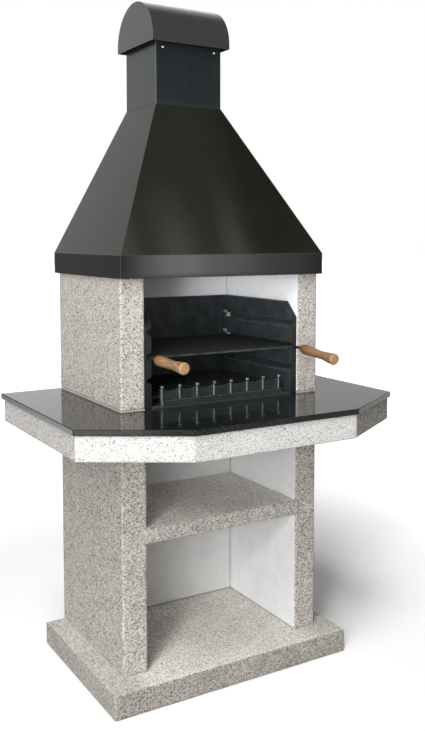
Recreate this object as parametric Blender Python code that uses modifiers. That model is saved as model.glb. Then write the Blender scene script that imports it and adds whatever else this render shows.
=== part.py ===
"""Outdoor masonry barbecue: stone-chip blocks, a granite worktop, an iron firebox and a sheet-steel hood.

Run it with: blender --background --python part.py. Sizes are metres, +Z is up, and the front faces -Y.
The origin is the centre of the base slab's underside.
"""

import math

import bmesh
import bpy
from mathutils import Matrix, Vector

# Clearance between pieces that touch, and how far a cutter runs past what it cuts
FIT = 0.0003
OVERRUN = 0.004
WELD_DISTANCE = 0.00001

# Base slab
BASE_WIDTH = 0.860
BASE_DEPTH = 0.580
BASE_HEIGHT = 0.076
BLOCK_EDGE = 0.003

# Mortar joints between the blocks, raked back from the faces
JOINT_HEIGHT = 0.003
JOINT_RAKE = 0.002

# Side and back walls, below and above the worktop
WALLS_WIDTH = 0.726
WALLS_FRONT = -0.2045
WALLS_BACK = 0.290
LOWER_WALL = 0.083
LOWER_BACK_WALL = 0.083
LOWER_HEIGHT = 0.723
UPPER_WALL = 0.079
UPPER_BACK_WALL = 0.050
UPPER_HEIGHT = 0.439

# Storage shelf, let into grooves in the lower walls
SHELF_TOP = 0.532
SHELF_HEIGHT = 0.050
SHELF_PROUD = 0.004
SHELF_HOUSING = 0.014
SHELF_CLEARANCE = 0.0005

# Worktop: a concrete casting under a polished granite slab with cut front corners
TOP_WIDTH = 1.144
TOP_BACK = 0.296
TOP_SIDE_FRONT = -0.345
TOP_FRONT = -0.5175
TOP_FRONT_WIDTH = 0.574
GRANITE_HEIGHT = 0.018
GRANITE_EDGE = 0.002
CASTING_HEIGHT = 0.075
CASTING_INSET = 0.008

# Iron firebox
FIREBOX_HEIGHT = 0.306
FIREBOX_INSET = 0.0045
FIREBACK = 0.008
FIREBACK_BEAD = 0.003
FIREBACK_BORDER = 0.018
PANEL_THICKNESS = 0.0255
PANEL_WALL = 0.006
PANEL_SOLID_FRONT = 0.060
CHAMFER_DEPTH = 0.050
CHAMFER_HEIGHT = 0.050
GROOVE_COUNT = 3
FIRST_GROOVE = 0.086
GROOVE_PITCH = 0.0742
GROOVE_HEIGHT = 0.014
GROOVE_DEPTH = 0.015
GROOVE_FLARE = 0.0055
HEARTH = 0.006
HEARTH_LIP = 0.022

# Ember guard with upright fingers
GUARD_SETBACK = 0.014
GUARD_PLATE = 0.006
GUARD_PLATE_HEIGHT = 0.048
GUARD_SCALLOP = 0.006
GUARD_END = 0.0015
FINGER_COUNT = 8
FINGER_PITCH = 0.0624
FINGER_WIDTH = 0.006
FINGER_HEIGHT = 0.060
FINGER_REACH = 0.009
FINGER_HOOK = 0.004
FINGER_HEAD = 0.0055
FINGER_HEAD_WIDTH = 0.010
GUARD_FOOT_SPREAD = 0.300
GUARD_FOOT_WIDTH = 0.012
GUARD_FOOT_DEPTH = 0.022
GUARD_FOOT_HEIGHT = 0.014

# Charcoal grate, a slotted casting on four feet
GRATE_WIDTH = 0.480
GRATE_FRONT_GAP = 0.006
GRATE_BACK_GAP = 0.012
GRATE_THICKNESS = 0.009
GRATE_SLOTS = 15
GRATE_SLOT_WIDTH = 0.017
GRATE_BORDER = 0.016
GRATE_FOOT = 0.012
GRATE_FOOT_INSET = 0.001
GRATE_FOOT_HEIGHT = 0.014

# Cooking grid: a bent frame rod, a front rail, cross bars and two stiffeners
FRAME_ROD = 0.008
FRAME_SIDE_GAP = 0.0015
FRAME_BEND = 0.018
GRID_FRONT = -0.205
GRID_BACK = 0.205
FRONT_RAIL = 0.0072
GRID_BAR = 0.004
GRID_BAR_COUNT = 22
STIFFENER_ROD = 0.005
STIFFENER_SPREAD = 0.240
WELD_DEPTH = 0.0006
GROOVES_BELOW_GRID_COUNT = 1

# Handles on the frame's two forward ends
LEFT_DROOP = math.radians(1.5)
RIGHT_DROOP = math.radians(5.5)
TANG_STUB = 0.0365
TANG_LENGTH = 0.072
TANG_CLEARANCE = 0.0003
FERRULE_LENGTH = 0.012
FERRULE_SMALL = 0.0062
FERRULE_LARGE = 0.0095
GRIP_LENGTH = 0.172
GRIP_SHOULDER_SHARE = 0.025
GRIP_BULGE_SHARE = 0.11
GRIP_TAPER_SHARE = 0.36
GRIP_WAIST_SHARE = 0.62
GRIP_FLARE_SHARE = 0.78
GRIP_ROOT = 0.0162
GRIP_WAIST = 0.0133
GRIP_END = 0.0182
GRIP_ROUND = 0.008

# Hood: a rim, four sloping sides and a neck, in folded sheet steel
SHEET = 0.0015
HOOD_WIDTH = 0.740
HOOD_FRONT = -0.224
HOOD_BACK = 0.317
RIM_DROP = 0.043
RIM_HEIGHT = 0.069
HOOD_SLOPE_HEIGHT = 0.487
NECK_HEIGHT = 0.035

# Angle-iron ring on the wall tops, inside the rim
SEAT_LEG = 0.034
SEAT_IRON = 0.003
ANCHOR_HEAD = 0.0065
ANCHOR_HEAD_HEIGHT = 0.004
ANCHOR_SHANK = 0.003
ANCHOR_LENGTH = 0.050
ANCHOR_FROM_END = 0.060
ANCHOR_CLEARANCE = 0.0004
ANCHOR_ON_LEG_SHARE = 0.6

# Chimney duct and its barrel cap
DUCT_WIDTH = 0.248
DUCT_FRONT = 0.0262
DUCT_BACK = 0.2496
DUCT_LENGTH = 0.247
CAP_OVERHANG = 0.0215
CAP_ABOVE_DUCT_FOOT = 0.1975
CAP_SKIRT = 0.0130
CAP_SEGMENTS = 28
STRAP_SPREAD = 0.194
STRAP_WIDTH = 0.018
STRAP_IRON = 0.002
STRAP_FOOT = 0.028
SCREW_BELOW_CAP = 0.0135
SCREW_HEAD = 0.0042
SCREW_HEAD_HEIGHT = 0.0022
SCREW_SHANK = 0.0020
SCREW_LENGTH = 0.009

# How finely the round outlines and turned pieces are drawn
ROUND_SIDES = 16
ROD_SIDES = 8
FINGER_HEAD_SIDES = 10
NOSE_STEPS = 6
SCALLOP_STEPS = 8
SLOT_END_STEPS = 5
FRAME_BEND_STEPS = 6
GRIP_ROUND_STEPS = 3
SHARP_ANGLE = math.radians(35.0)

# Heights and faces that follow from the sizes above
WALL_FOOT = BASE_HEIGHT + JOINT_HEIGHT
LOWER_WALL_TOP = WALL_FOOT + LOWER_HEIGHT
CASTING_FOOT = LOWER_WALL_TOP + JOINT_HEIGHT
CASTING_TOP = CASTING_FOOT + CASTING_HEIGHT
GRANITE_FOOT = CASTING_TOP + FIT
WORKTOP = GRANITE_FOOT + GRANITE_HEIGHT
UPPER_FOOT = WORKTOP + JOINT_HEIGHT
WALL_TOP = UPPER_FOOT + UPPER_HEIGHT
LOWER_BAY = WALLS_WIDTH / 2 - LOWER_WALL
UPPER_BAY = WALLS_WIDTH / 2 - UPPER_WALL
LOWER_BACK_FACE = WALLS_BACK - LOWER_BACK_WALL
UPPER_BACK_FACE = WALLS_BACK - UPPER_BACK_WALL

FIREBOX_FOOT = WORKTOP + FIT
FIREBOX_TOP = FIREBOX_FOOT + FIREBOX_HEIGHT
FIREBOX_FRONT = WALLS_FRONT + FIREBOX_INSET
FIREBACK_FACE = UPPER_BACK_FACE - FIT - FIREBACK
PANEL_OUTSIDE = UPPER_BAY - FIT
PANEL_FACE = PANEL_OUTSIDE - PANEL_THICKNESS
GROOVE_FACE = PANEL_FACE + GROOVE_DEPTH
PANEL_BACK = FIREBACK_FACE - FIREBACK_BEAD - FIT
HEARTH_TOP = FIREBOX_FOOT + HEARTH
GUARD_FACE = FIREBOX_FRONT + GUARD_SETBACK
GUARD_BACK = GUARD_FACE + GUARD_PLATE
GUARD_FOOT_BACK = GUARD_BACK + GUARD_FOOT_DEPTH
GUARD_HALF = (FINGER_COUNT - 1) / 2 * FINGER_PITCH + FINGER_WIDTH / 2 + GUARD_END
GRATE_FRONT = GUARD_FOOT_BACK + GRATE_FRONT_GAP
GRATE_BACK = PANEL_BACK - GRATE_BACK_GAP

GRID_GROOVE = FIREBOX_FOOT + FIRST_GROOVE + GROOVES_BELOW_GRID_COUNT * GROOVE_PITCH
GRID_AXIS = GRID_GROOVE - GROOVE_HEIGHT / 2 + FRAME_ROD / 2 + FIT
FRAME_HALF = GROOVE_FACE - FRAME_SIDE_GAP - FRAME_ROD / 2

RIM_FOOT = WALL_TOP - RIM_DROP
RIM_TOP = RIM_FOOT + RIM_HEIGHT
DUCT_FOOT = RIM_TOP + HOOD_SLOPE_HEIGHT
CAP_FOOT = DUCT_FOOT + CAP_ABOVE_DUCT_FOOT
DUCT_MIDDLE = (DUCT_FRONT + DUCT_BACK) / 2
CAP_RADIUS = (DUCT_BACK - DUCT_FRONT) / 2 + CAP_OVERHANG
CAP_SPRING = CAP_FOOT + CAP_SKIRT
SCREW_HEIGHT = CAP_FOOT - SCREW_BELOW_CAP

# Colours are linear RGB with roughness and metallic values
FINISHES = {
    "stone_chip": ((0.46, 0.43, 0.40), 0.85, 0.0),
    "white_concrete": ((0.76, 0.77, 0.78), 0.80, 0.0),
    "mortar": ((0.42, 0.41, 0.39), 0.95, 0.0),
    "black_granite": ((0.018, 0.021, 0.022), 0.10, 0.0),
    "cast_iron": ((0.030, 0.034, 0.036), 0.55, 0.6),
    "steel_rod": ((0.10, 0.10, 0.10), 0.40, 0.9),
    "turned_wood": ((0.62, 0.36, 0.15), 0.50, 0.0),
    "hood_paint": ((0.045, 0.046, 0.042), 0.38, 0.3),
    "zinc": ((0.62, 0.62, 0.60), 0.30, 0.9),
}


def start_scene():
    """Clear the scene and make the collections for the barbecue and for the cutters."""
    for old in list(bpy.data.objects):
        bpy.data.objects.remove(old)
    for name in ("masonry_barbecue", "cutters"):
        collection = bpy.data.collections.new(name)
        bpy.context.scene.collection.children.link(collection)


def finish(name):
    """Return the material of that name, made on first use."""
    material = bpy.data.materials.get(name)
    if material is None:
        colour, roughness, metallic = FINISHES[name]
        material = bpy.data.materials.new(name)
        material.use_nodes = True
        shader = material.node_tree.nodes["Principled BSDF"]
        shader.inputs["Base Color"].default_value = (*colour, 1.0)
        shader.inputs["Roughness"].default_value = roughness
        shader.inputs["Metallic"].default_value = metallic
        material.diffuse_color = (*colour, 1.0)
    return material


def add_part(name, data, finish_name, parent=None):
    """Link an object into the barbecue's collection and give it its material."""
    part = bpy.data.objects.new(name, data)
    bpy.data.collections["masonry_barbecue"].objects.link(part)
    data.materials.append(finish(finish_name))
    part.parent = parent
    return part


def add_cutter(name, data):
    """Link a helper that only cuts or joins, kept out of the render."""
    cutter = bpy.data.objects.new(name, data)
    bpy.data.collections["cutters"].objects.link(cutter)
    cutter.hide_render = True
    cutter.display_type = "WIRE"
    return cutter


def add_pivot(name, place):
    """Make the empty that a moving body hangs from."""
    pivot = bpy.data.objects.new(name, None)
    bpy.data.collections["masonry_barbecue"].objects.link(pivot)
    pivot.location = place
    return pivot


def boolean(part, other, operation):
    """Add a Boolean modifier with the exact solver."""
    modifier = part.modifiers.new(operation.lower() + "_" + other.name, "BOOLEAN")
    modifier.operation = operation
    modifier.solver = "EXACT"
    modifier.object = other


def round_edges(part, width):
    """Bevel the part's sharp edges."""
    modifier = part.modifiers.new("edges", "BEVEL")
    modifier.width = width
    modifier.limit_method = "ANGLE"


def thicken(part, thickness):
    """Give an open sheet its thickness, inwards from the modelled face."""
    modifier = part.modifiers.new("sheet", "SOLIDIFY")
    modifier.thickness = thickness
    modifier.offset = -1.0
    modifier.use_even_offset = True


def cube_mesh(name, size):
    """A box of that size about its own centre."""
    shape = bmesh.new()
    bmesh.ops.create_cube(shape, size=1.0, matrix=Matrix.Diagonal((*size, 1.0)))
    return mesh_from(name, shape)


def mesh_from(name, shape):
    """Turn a bmesh into mesh data with its normals facing out."""
    bmesh.ops.recalc_face_normals(shape, faces=shape.faces)
    data = bpy.data.meshes.new(name)
    shape.to_mesh(data)
    shape.free()
    return data


def middle_and_size(low, high):
    """The centre and the size of a box given by two corners."""
    low = Vector(low)
    high = Vector(high)
    return (low + high) / 2, high - low


def block(name, low, high, finish_name, edge=0.0, parent=None):
    """A box-shaped part between two corners, with its sharp edges eased."""
    centre, size = middle_and_size(low, high)
    part = add_part(name, cube_mesh(name, size), finish_name, parent)
    part.location = centre - (parent.location if parent else Vector())
    if edge:
        round_edges(part, edge)
    return part


def box_cutter(name, low, high):
    """A box-shaped cutter between two corners."""
    centre, size = middle_and_size(low, high)
    cutter = add_cutter(name, cube_mesh(name, size))
    cutter.location = centre
    return cutter


def boxes_cutter(name, corners):
    """One cutter made of several boxes that don't touch."""
    shape = bmesh.new()
    for low, high in corners:
        centre, size = middle_and_size(low, high)
        matrix = Matrix.Translation(centre) @ Matrix.Diagonal((*size, 1.0))
        bmesh.ops.create_cube(shape, size=1.0, matrix=matrix)
    return add_cutter(name, mesh_from(name, shape))


def cylinder_mesh(name, radius, length, sides=ROUND_SIDES):
    """A cylinder along Z about its own centre."""
    shape = bmesh.new()
    bmesh.ops.create_cone(
        shape, cap_ends=True, segments=sides, radius1=radius, radius2=radius, depth=length
    )
    return mesh_from(name, shape)


def outline_curve(name, loops, thickness):
    """A flat 2D curve in the XY plane, filled and extruded to the thickness about that plane."""
    curve = bpy.data.curves.new(name, "CURVE")
    curve.dimensions = "2D"
    curve.fill_mode = "BOTH"
    curve.extrude = thickness / 2
    for points in loops:
        spline = curve.splines.new("POLY")
        spline.points.add(len(points) - 1)
        for slot, point in zip(spline.points, points):
            slot.co = (point[0], point[1], 0.0, 1.0)
        spline.use_cyclic_u = True
    return curve


def solid_from_curve(name, curve, place=None):
    """Mesh data made from a curve, with its loose caps welded on."""
    holder = bpy.data.objects.new(name + "_curve", curve)
    bpy.context.scene.collection.objects.link(holder)
    bpy.context.view_layer.update()
    graph = bpy.context.evaluated_depsgraph_get()
    data = bpy.data.meshes.new_from_object(holder.evaluated_get(graph))
    bpy.data.objects.remove(holder)
    shape = bmesh.new()
    shape.from_mesh(data)
    bpy.data.meshes.remove(data)
    bmesh.ops.remove_doubles(shape, verts=shape.verts, dist=WELD_DISTANCE)
    if place is not None:
        bmesh.ops.transform(shape, matrix=place, verts=shape.verts)
    return mesh_from(name, shape)


def rod_curve(name, points, radius):
    """A round rod along a list of points."""
    curve = bpy.data.curves.new(name, "CURVE")
    curve.dimensions = "3D"
    curve.bevel_depth = radius
    curve.bevel_resolution = 2
    curve.use_fill_caps = True
    spline = curve.splines.new("POLY")
    spline.points.add(len(points) - 1)
    for slot, point in zip(spline.points, points):
        slot.co = (*point, 1.0)
    return curve


def arc(centre, radius, start, end, steps):
    """Points along a circular arc in a plane, from angle start to angle end."""
    return [
        (
            centre[0] + radius * math.cos(start + (end - start) * step / steps),
            centre[1] + radius * math.sin(start + (end - start) * step / steps),
        )
        for step in range(steps + 1)
    ]


# A 2D outline's X and Y become the named world axes, and its thickness the third.
SIDE_VIEW = Matrix(((0, 0, 1, 0), (1, 0, 0, 0), (0, 1, 0, 0), (0, 0, 0, 1)))
FRONT_VIEW = Matrix(((1, 0, 0, 0), (0, 0, -1, 0), (0, 1, 0, 0), (0, 0, 0, 1)))


def rectangle_loft(name, rings):
    """An open sheet through rectangles from foot to top, each (half width, front, back, height)."""
    shape = bmesh.new()
    loops = []
    for half, front, back, height in rings:
        corners = ((-half, front), (half, front), (half, back), (-half, back))
        loops.append([shape.verts.new((x, y, height)) for x, y in corners])
    for low, high in zip(loops, loops[1:]):
        for corner in range(4):
            following = (corner + 1) % 4
            shape.faces.new((low[corner], low[following], high[following], high[corner]))
    data = bpy.data.meshes.new(name)
    shape.to_mesh(data)
    shape.free()
    return data


def base_slab():
    """The plinth that everything stands on."""
    low = (-BASE_WIDTH / 2, -BASE_DEPTH / 2, 0.0)
    high = (BASE_WIDTH / 2, BASE_DEPTH / 2, BASE_HEIGHT)
    block("base_slab", low, high, "stone_chip", BLOCK_EDGE)


def course(level, foot, height, bay, back_face):
    """The walls of one course: (name, low corner, high corner, finish) for left, right and back."""
    half = WALLS_WIDTH / 2
    top = foot + height
    return [
        (level + "_left_wall", (-half, WALLS_FRONT, foot), (-bay, WALLS_BACK, top), "stone_chip"),
        (level + "_right_wall", (bay, WALLS_FRONT, foot), (half, WALLS_BACK, top), "stone_chip"),
        (
            level + "_back_wall",
            (-bay + FIT, back_face, foot),
            (bay - FIT, WALLS_BACK, top),
            "white_concrete",
        ),
    ]


def mortar_bed(name, low, high, foot):
    """The thin mortar strip between a wall's end and what it meets there."""
    block(
        name,
        (low[0] + JOINT_RAKE, low[1] + JOINT_RAKE, foot + FIT),
        (high[0] - JOINT_RAKE, high[1] - JOINT_RAKE, foot + JOINT_HEIGHT - FIT),
        "mortar",
    )


def lower_walls():
    """The lower course, with a groove in each side wall for the shelf, and its mortar."""
    housing = box_cutter(
        "shelf_housing",
        (-LOWER_BAY - SHELF_HOUSING, WALLS_FRONT - OVERRUN, SHELF_TOP - SHELF_HEIGHT - SHELF_CLEARANCE),
        (LOWER_BAY + SHELF_HOUSING, LOWER_BACK_FACE, SHELF_TOP + SHELF_CLEARANCE),
    )
    for name, low, high, finish_name in course(
        "lower", WALL_FOOT, LOWER_HEIGHT, LOWER_BAY, LOWER_BACK_FACE
    ):
        wall = block(name, low, high, finish_name, BLOCK_EDGE)
        if "back" not in name:
            boolean(wall, housing, "DIFFERENCE")
        mortar_bed(name.replace("wall", "foot_mortar"), low, high, BASE_HEIGHT)
        mortar_bed(name.replace("wall", "top_mortar"), low, high, LOWER_WALL_TOP)


def storage_shelf():
    """The shelf, slid into the grooves of the lower walls."""
    reach = LOWER_BAY + SHELF_HOUSING - SHELF_CLEARANCE
    block(
        "storage_shelf",
        (-reach, WALLS_FRONT - SHELF_PROUD, SHELF_TOP - SHELF_HEIGHT),
        (reach, LOWER_BACK_FACE - FIT, SHELF_TOP),
        "stone_chip",
        BLOCK_EDGE,
    )


def worktop_outline(inset):
    """The six corners of the worktop seen from above, drawn in by an inset."""
    # The cut corner's sloping side moves in along its normal, so its ends slide along the other sides.
    run = (TOP_WIDTH - TOP_FRONT_WIDTH) / 2
    rise = TOP_SIDE_FRONT - TOP_FRONT
    slope = math.hypot(run, rise)
    half = TOP_WIDTH / 2 - inset
    front = TOP_FRONT + inset
    side_front = TOP_SIDE_FRONT + inset * (slope - rise) / run
    front_half = TOP_FRONT_WIDTH / 2 - inset * (slope - run) / rise
    return [
        (-half, TOP_BACK - inset),
        (-half, side_front),
        (-front_half, front),
        (front_half, front),
        (half, side_front),
        (half, TOP_BACK - inset),
    ]


def worktop_plate(name, inset, foot, height, edge, finish_name):
    """One layer of the worktop."""
    curve = outline_curve(name, [worktop_outline(inset)], height)
    plate = add_part(name, solid_from_curve(name, curve), finish_name)
    plate.location.z = foot + height / 2
    round_edges(plate, edge)


def worktop():
    """The concrete casting and the polished granite slab on it."""
    worktop_plate(
        "worktop_casting", CASTING_INSET, CASTING_FOOT, CASTING_HEIGHT, BLOCK_EDGE, "stone_chip"
    )
    worktop_plate("granite_top", 0.0, GRANITE_FOOT, GRANITE_HEIGHT, GRANITE_EDGE, "black_granite")


def upper_walls():
    """The upper course round the fire, and its mortar on the granite."""
    for name, low, high, finish_name in course(
        "upper", UPPER_FOOT, UPPER_HEIGHT, UPPER_BAY, UPPER_BACK_FACE
    ):
        wall = block(name, low, high, finish_name, BLOCK_EDGE)
        if "back" not in name:
            side = -1 if "left" in name else 1
            for number, place in enumerate(anchor_places(side)):
                boolean(wall, anchor_cutter("%s_anchor_hole_%d" % (name, number), place), "DIFFERENCE")
        mortar_bed(name.replace("wall", "foot_mortar"), low, high, WORKTOP)


def panel_profile(side):
    """A firebox side panel seen from the front: a flat back and grooved face, as (x, z) points."""
    foot = FIREBOX_FOOT
    points = [(side * PANEL_OUTSIDE, foot), (side * PANEL_FACE, foot)]
    for index in range(GROOVE_COUNT):
        middle = foot + FIRST_GROOVE + index * GROOVE_PITCH
        half = GROOVE_HEIGHT / 2
        points += [
            (side * PANEL_FACE, middle - half - GROOVE_FLARE),
            (side * (PANEL_FACE + GROOVE_FLARE), middle - half),
            (side * GROOVE_FACE, middle - half),
            (side * GROOVE_FACE, middle + half),
            (side * (PANEL_FACE + GROOVE_FLARE), middle + half),
            (side * PANEL_FACE, middle + half + GROOVE_FLARE),
        ]
    points += [(side * PANEL_FACE, FIREBOX_TOP), (side * PANEL_OUTSIDE, FIREBOX_TOP)]
    return points


def panel_pockets(side):
    """The hollows in the panel's back, one behind each raised land between the grooves."""
    foot = FIREBOX_FOOT
    edges = [foot]
    for index in range(GROOVE_COUNT):
        middle = foot + FIRST_GROOVE + index * GROOVE_PITCH
        reach = GROOVE_HEIGHT / 2 + GROOVE_FLARE
        edges += [middle - reach, middle + reach]
    edges.append(FIREBOX_TOP)
    corners = []
    for low, high in zip(edges[::2], edges[1::2]):
        xs = sorted((side * (PANEL_FACE + PANEL_WALL), side * (PANEL_OUTSIDE + OVERRUN)))
        corners.append(
            (
                (xs[0], FIREBOX_FRONT + PANEL_SOLID_FRONT, low + PANEL_WALL),
                (xs[1], PANEL_BACK - PANEL_WALL, high - PANEL_WALL),
            )
        )
    return boxes_cutter("panel_pockets_%d" % side, corners)


def chamfer_cutter():
    """The prism that cuts the top front corner off both side panels."""
    front = FIREBOX_FRONT
    top = FIREBOX_TOP
    slope = CHAMFER_HEIGHT / CHAMFER_DEPTH
    triangle = [
        (front - OVERRUN, top - CHAMFER_HEIGHT - OVERRUN * slope),
        (front + CHAMFER_DEPTH + OVERRUN, top + OVERRUN * slope),
        (front - OVERRUN, top + OVERRUN * slope),
    ]
    curve = outline_curve("panel_chamfer", [triangle], 2 * (PANEL_OUTSIDE + OVERRUN))
    return add_cutter("panel_chamfer", solid_from_curve("panel_chamfer", curve, SIDE_VIEW))


def firebox_panels():
    """The two grooved side panels that carry the cooking grid."""
    chamfer = chamfer_cutter()
    for name, side in (("firebox_left_panel", -1), ("firebox_right_panel", 1)):
        depth = PANEL_BACK - FIREBOX_FRONT
        curve = outline_curve(name, [panel_profile(side)], depth)
        panel = add_part(name, solid_from_curve(name, curve, FRONT_VIEW), "cast_iron")
        panel.location.y = FIREBOX_FRONT + depth / 2
        boolean(panel, chamfer, "DIFFERENCE")
        boolean(panel, panel_pockets(side), "DIFFERENCE")


def fireback():
    """The back plate of the firebox, with a raised border."""
    half = PANEL_OUTSIDE
    back = FIREBACK_FACE + FIREBACK
    plate = block(
        "fireback",
        (-half, FIREBACK_FACE, FIREBOX_FOOT),
        (half, back, FIREBOX_TOP),
        "cast_iron",
    )
    inner = half - FIREBACK_BORDER
    face = FIREBACK_FACE - FIREBACK_BEAD
    outer = [(-half, FIREBOX_FOOT), (half, FIREBOX_FOOT), (half, FIREBOX_TOP), (-half, FIREBOX_TOP)]
    hole_foot = FIREBOX_FOOT + FIREBACK_BORDER
    hole_top = FIREBOX_TOP - FIREBACK_BORDER
    hole = [(-inner, hole_foot), (inner, hole_foot), (inner, hole_top), (-inner, hole_top)]
    thickness = back - face - FIREBACK / 2
    curve = outline_curve("fireback_border", [outer, hole], thickness)
    place = Matrix.Translation((0.0, face + thickness / 2, 0.0)) @ FRONT_VIEW
    border = add_cutter("fireback_border", solid_from_curve("fireback_border", curve, place))
    boolean(plate, border, "UNION")


def hearth_plate():
    """The firebox floor, with a low lip in front of the ember guard."""
    half = PANEL_FACE - FIT
    plate = block(
        "hearth_plate",
        (-half, FIREBOX_FRONT, FIREBOX_FOOT),
        (half, PANEL_BACK, HEARTH_TOP),
        "cast_iron",
    )
    lip = box_cutter(
        "hearth_lip",
        (-GUARD_HALF, FIREBOX_FRONT, HEARTH_TOP - HEARTH / 2),
        (GUARD_HALF, FIREBOX_FRONT + HEARTH, FIREBOX_FOOT + HEARTH_LIP),
    )
    boolean(plate, lip, "UNION")


def finger_tip():
    """The (y, z) about which a finger's nose and head are round."""
    top = HEARTH_TOP + FIT + FINGER_HEIGHT
    return GUARD_BACK - FINGER_REACH, top - FINGER_HEAD


def finger_outline():
    """One finger of the ember guard from the side, a hooked upright, as (y, z) points."""
    foot = HEARTH_TOP + FIT
    radius = FINGER_HOOK
    front, middle = finger_tip()
    top = middle + radius
    nose = arc((front, middle), radius, math.pi / 2, 3 * math.pi / 2, NOSE_STEPS)
    return [
        (GUARD_BACK - GUARD_PLATE / 2, foot),
        (GUARD_BACK - GUARD_PLATE / 2, top),
        *nose,
        (front, top - 2 * radius - FINGER_HOOK),
        (front, foot),
    ]


def finger_places():
    """The x of each finger's middle."""
    return [(index - (FINGER_COUNT - 1) / 2) * FINGER_PITCH for index in range(FINGER_COUNT)]


def guard_outline():
    """The guard's plate from the front, its top edge dipping between the fingers."""
    half = GUARD_HALF
    foot = HEARTH_TOP + FIT
    top = foot + GUARD_PLATE_HEIGHT
    points = [(-half, foot), (half, foot), (half, top)]
    places = finger_places()
    dip = (FINGER_PITCH - 2 * FINGER_WIDTH) / 2
    for right, left in zip(places[:0:-1], places[-2::-1]):
        middle = (right + left) / 2
        points += [
            (middle + dip * math.cos(angle), top - GUARD_SCALLOP * math.sin(angle))
            for angle in (math.pi * step / SCALLOP_STEPS for step in range(SCALLOP_STEPS + 1))
        ]
    points.append((-half, top))
    return points


def ember_guard(pivot):
    """The lift-out guard that holds the embers back, with eight hooked fingers and two feet."""
    curve = outline_curve("ember_guard", [guard_outline()], GUARD_PLATE)
    guard = add_part(
        "ember_guard", solid_from_curve("ember_guard", curve, FRONT_VIEW), "cast_iron", pivot
    )
    guard.location = Vector((0.0, GUARD_FACE + GUARD_PLATE / 2, 0.0)) - pivot.location
    for index, place in enumerate(finger_places()):
        shape = outline_curve("finger", [finger_outline()], FINGER_WIDTH)
        offset = Matrix.Translation((place, 0.0, 0.0)) @ SIDE_VIEW
        finger = add_cutter("finger_%d" % (index + 1), solid_from_curve("finger", shape, offset))
        boolean(guard, finger, "UNION")
        disc = cylinder_mesh("finger_head", FINGER_HEAD, FINGER_HEAD_WIDTH, FINGER_HEAD_SIDES)
        head = add_cutter("finger_head_%d" % (index + 1), disc)
        head.location = (place, *finger_tip())
        head.rotation_euler = (0.0, math.pi / 2, 0.0)
        boolean(guard, head, "UNION")
    foot = HEARTH_TOP + FIT
    feet = []
    for side in (-1, 1):
        middle = side * GUARD_FOOT_SPREAD / 2
        low = (middle - GUARD_FOOT_WIDTH / 2, GUARD_BACK - GUARD_PLATE / 2, foot)
        high = (middle + GUARD_FOOT_WIDTH / 2, GUARD_FOOT_BACK, foot + GUARD_FOOT_HEIGHT)
        feet.append((low, high))
    boolean(guard, boxes_cutter("guard_feet", feet), "UNION")


def charcoal_grate(pivot):
    """The slotted casting that the charcoal lies on, lifted off its feet for cleaning."""
    half = GRATE_WIDTH / 2
    foot = HEARTH_TOP + FIT
    level = foot + GRATE_FOOT_HEIGHT
    top = level + GRATE_THICKNESS
    grate = block(
        "charcoal_grate",
        (-half, GRATE_FRONT, level),
        (half, GRATE_BACK, top),
        "cast_iron",
        parent=pivot,
    )
    feet = []
    front_foot = GRATE_FRONT + GRATE_FOOT_INSET
    back_foot = GRATE_BACK - GRATE_FOOT_INSET - GRATE_FOOT
    for x in (-half + GRATE_FOOT_INSET, half - GRATE_FOOT_INSET - GRATE_FOOT):
        for y in (front_foot, back_foot):
            feet.append(((x, y, foot), (x + GRATE_FOOT, y + GRATE_FOOT, level + GRATE_THICKNESS / 2)))
    boolean(grate, boxes_cutter("grate_feet", feet), "UNION")
    radius = GRATE_SLOT_WIDTH / 2
    pitch = (GRATE_WIDTH - 2 * GRATE_BORDER) / GRATE_SLOTS
    slots = []
    for index in range(GRATE_SLOTS):
        x = (index - (GRATE_SLOTS - 1) / 2) * pitch
        front = (x, GRATE_FRONT + GRATE_BORDER + radius)
        back = (x, GRATE_BACK - GRATE_BORDER - radius)
        slots.append(
            arc(front, radius, math.pi, 2 * math.pi, SLOT_END_STEPS)
            + arc(back, radius, 0.0, math.pi, SLOT_END_STEPS)
        )
    curve = outline_curve("grate_slots", slots, GRATE_THICKNESS + 2 * OVERRUN)
    place = Matrix.Translation((0.0, 0.0, (level + top) / 2))
    cutter = add_cutter("grate_slots", solid_from_curve("grate_slots", curve, place))
    boolean(grate, cutter, "DIFFERENCE")


def handle_droop(side):
    """How far a handle's axis droops; the two tangs aren't bent quite alike."""
    return LEFT_DROOP if side < 0 else RIGHT_DROOP


def tang_point(side, distance):
    """A point on a handle's drooping axis, at a distance beyond its bend."""
    droop = handle_droop(side)
    return Vector(
        (
            side * FRAME_HALF,
            GRID_FRONT - TANG_STUB - distance * math.cos(droop),
            GRID_AXIS - distance * math.sin(droop),
        )
    )


def frame_path():
    """The frame rod from one tang, back round the grid, to the other tang."""
    bend = FRAME_BEND
    right = arc((FRAME_HALF - bend, GRID_BACK - bend), bend, 0.0, math.pi / 2, FRAME_BEND_STEPS)
    left = arc((-FRAME_HALF + bend, GRID_BACK - bend), bend, math.pi / 2, math.pi, FRAME_BEND_STEPS)
    points = [tang_point(1, TANG_LENGTH), tang_point(1, 0.0)]
    points += [(x, y, GRID_AXIS) for x, y in right + left]
    points += [tang_point(-1, 0.0), tang_point(-1, TANG_LENGTH)]
    return points


def rods_cutter(name, rods):
    """Straight rods that don't touch, as one helper: each is (start, end, radius)."""
    shape = bmesh.new()
    for start, end, radius in rods:
        along = Vector(end) - Vector(start)
        turn = along.to_track_quat("Z", "Y").to_matrix().to_4x4()
        matrix = Matrix.Translation((Vector(start) + Vector(end)) / 2) @ turn
        bmesh.ops.create_cone(
            shape, cap_ends=True, segments=ROD_SIDES, radius1=radius, radius2=radius,
            depth=along.length, matrix=matrix,
        )
    return add_cutter(name, mesh_from(name, shape))


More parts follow.
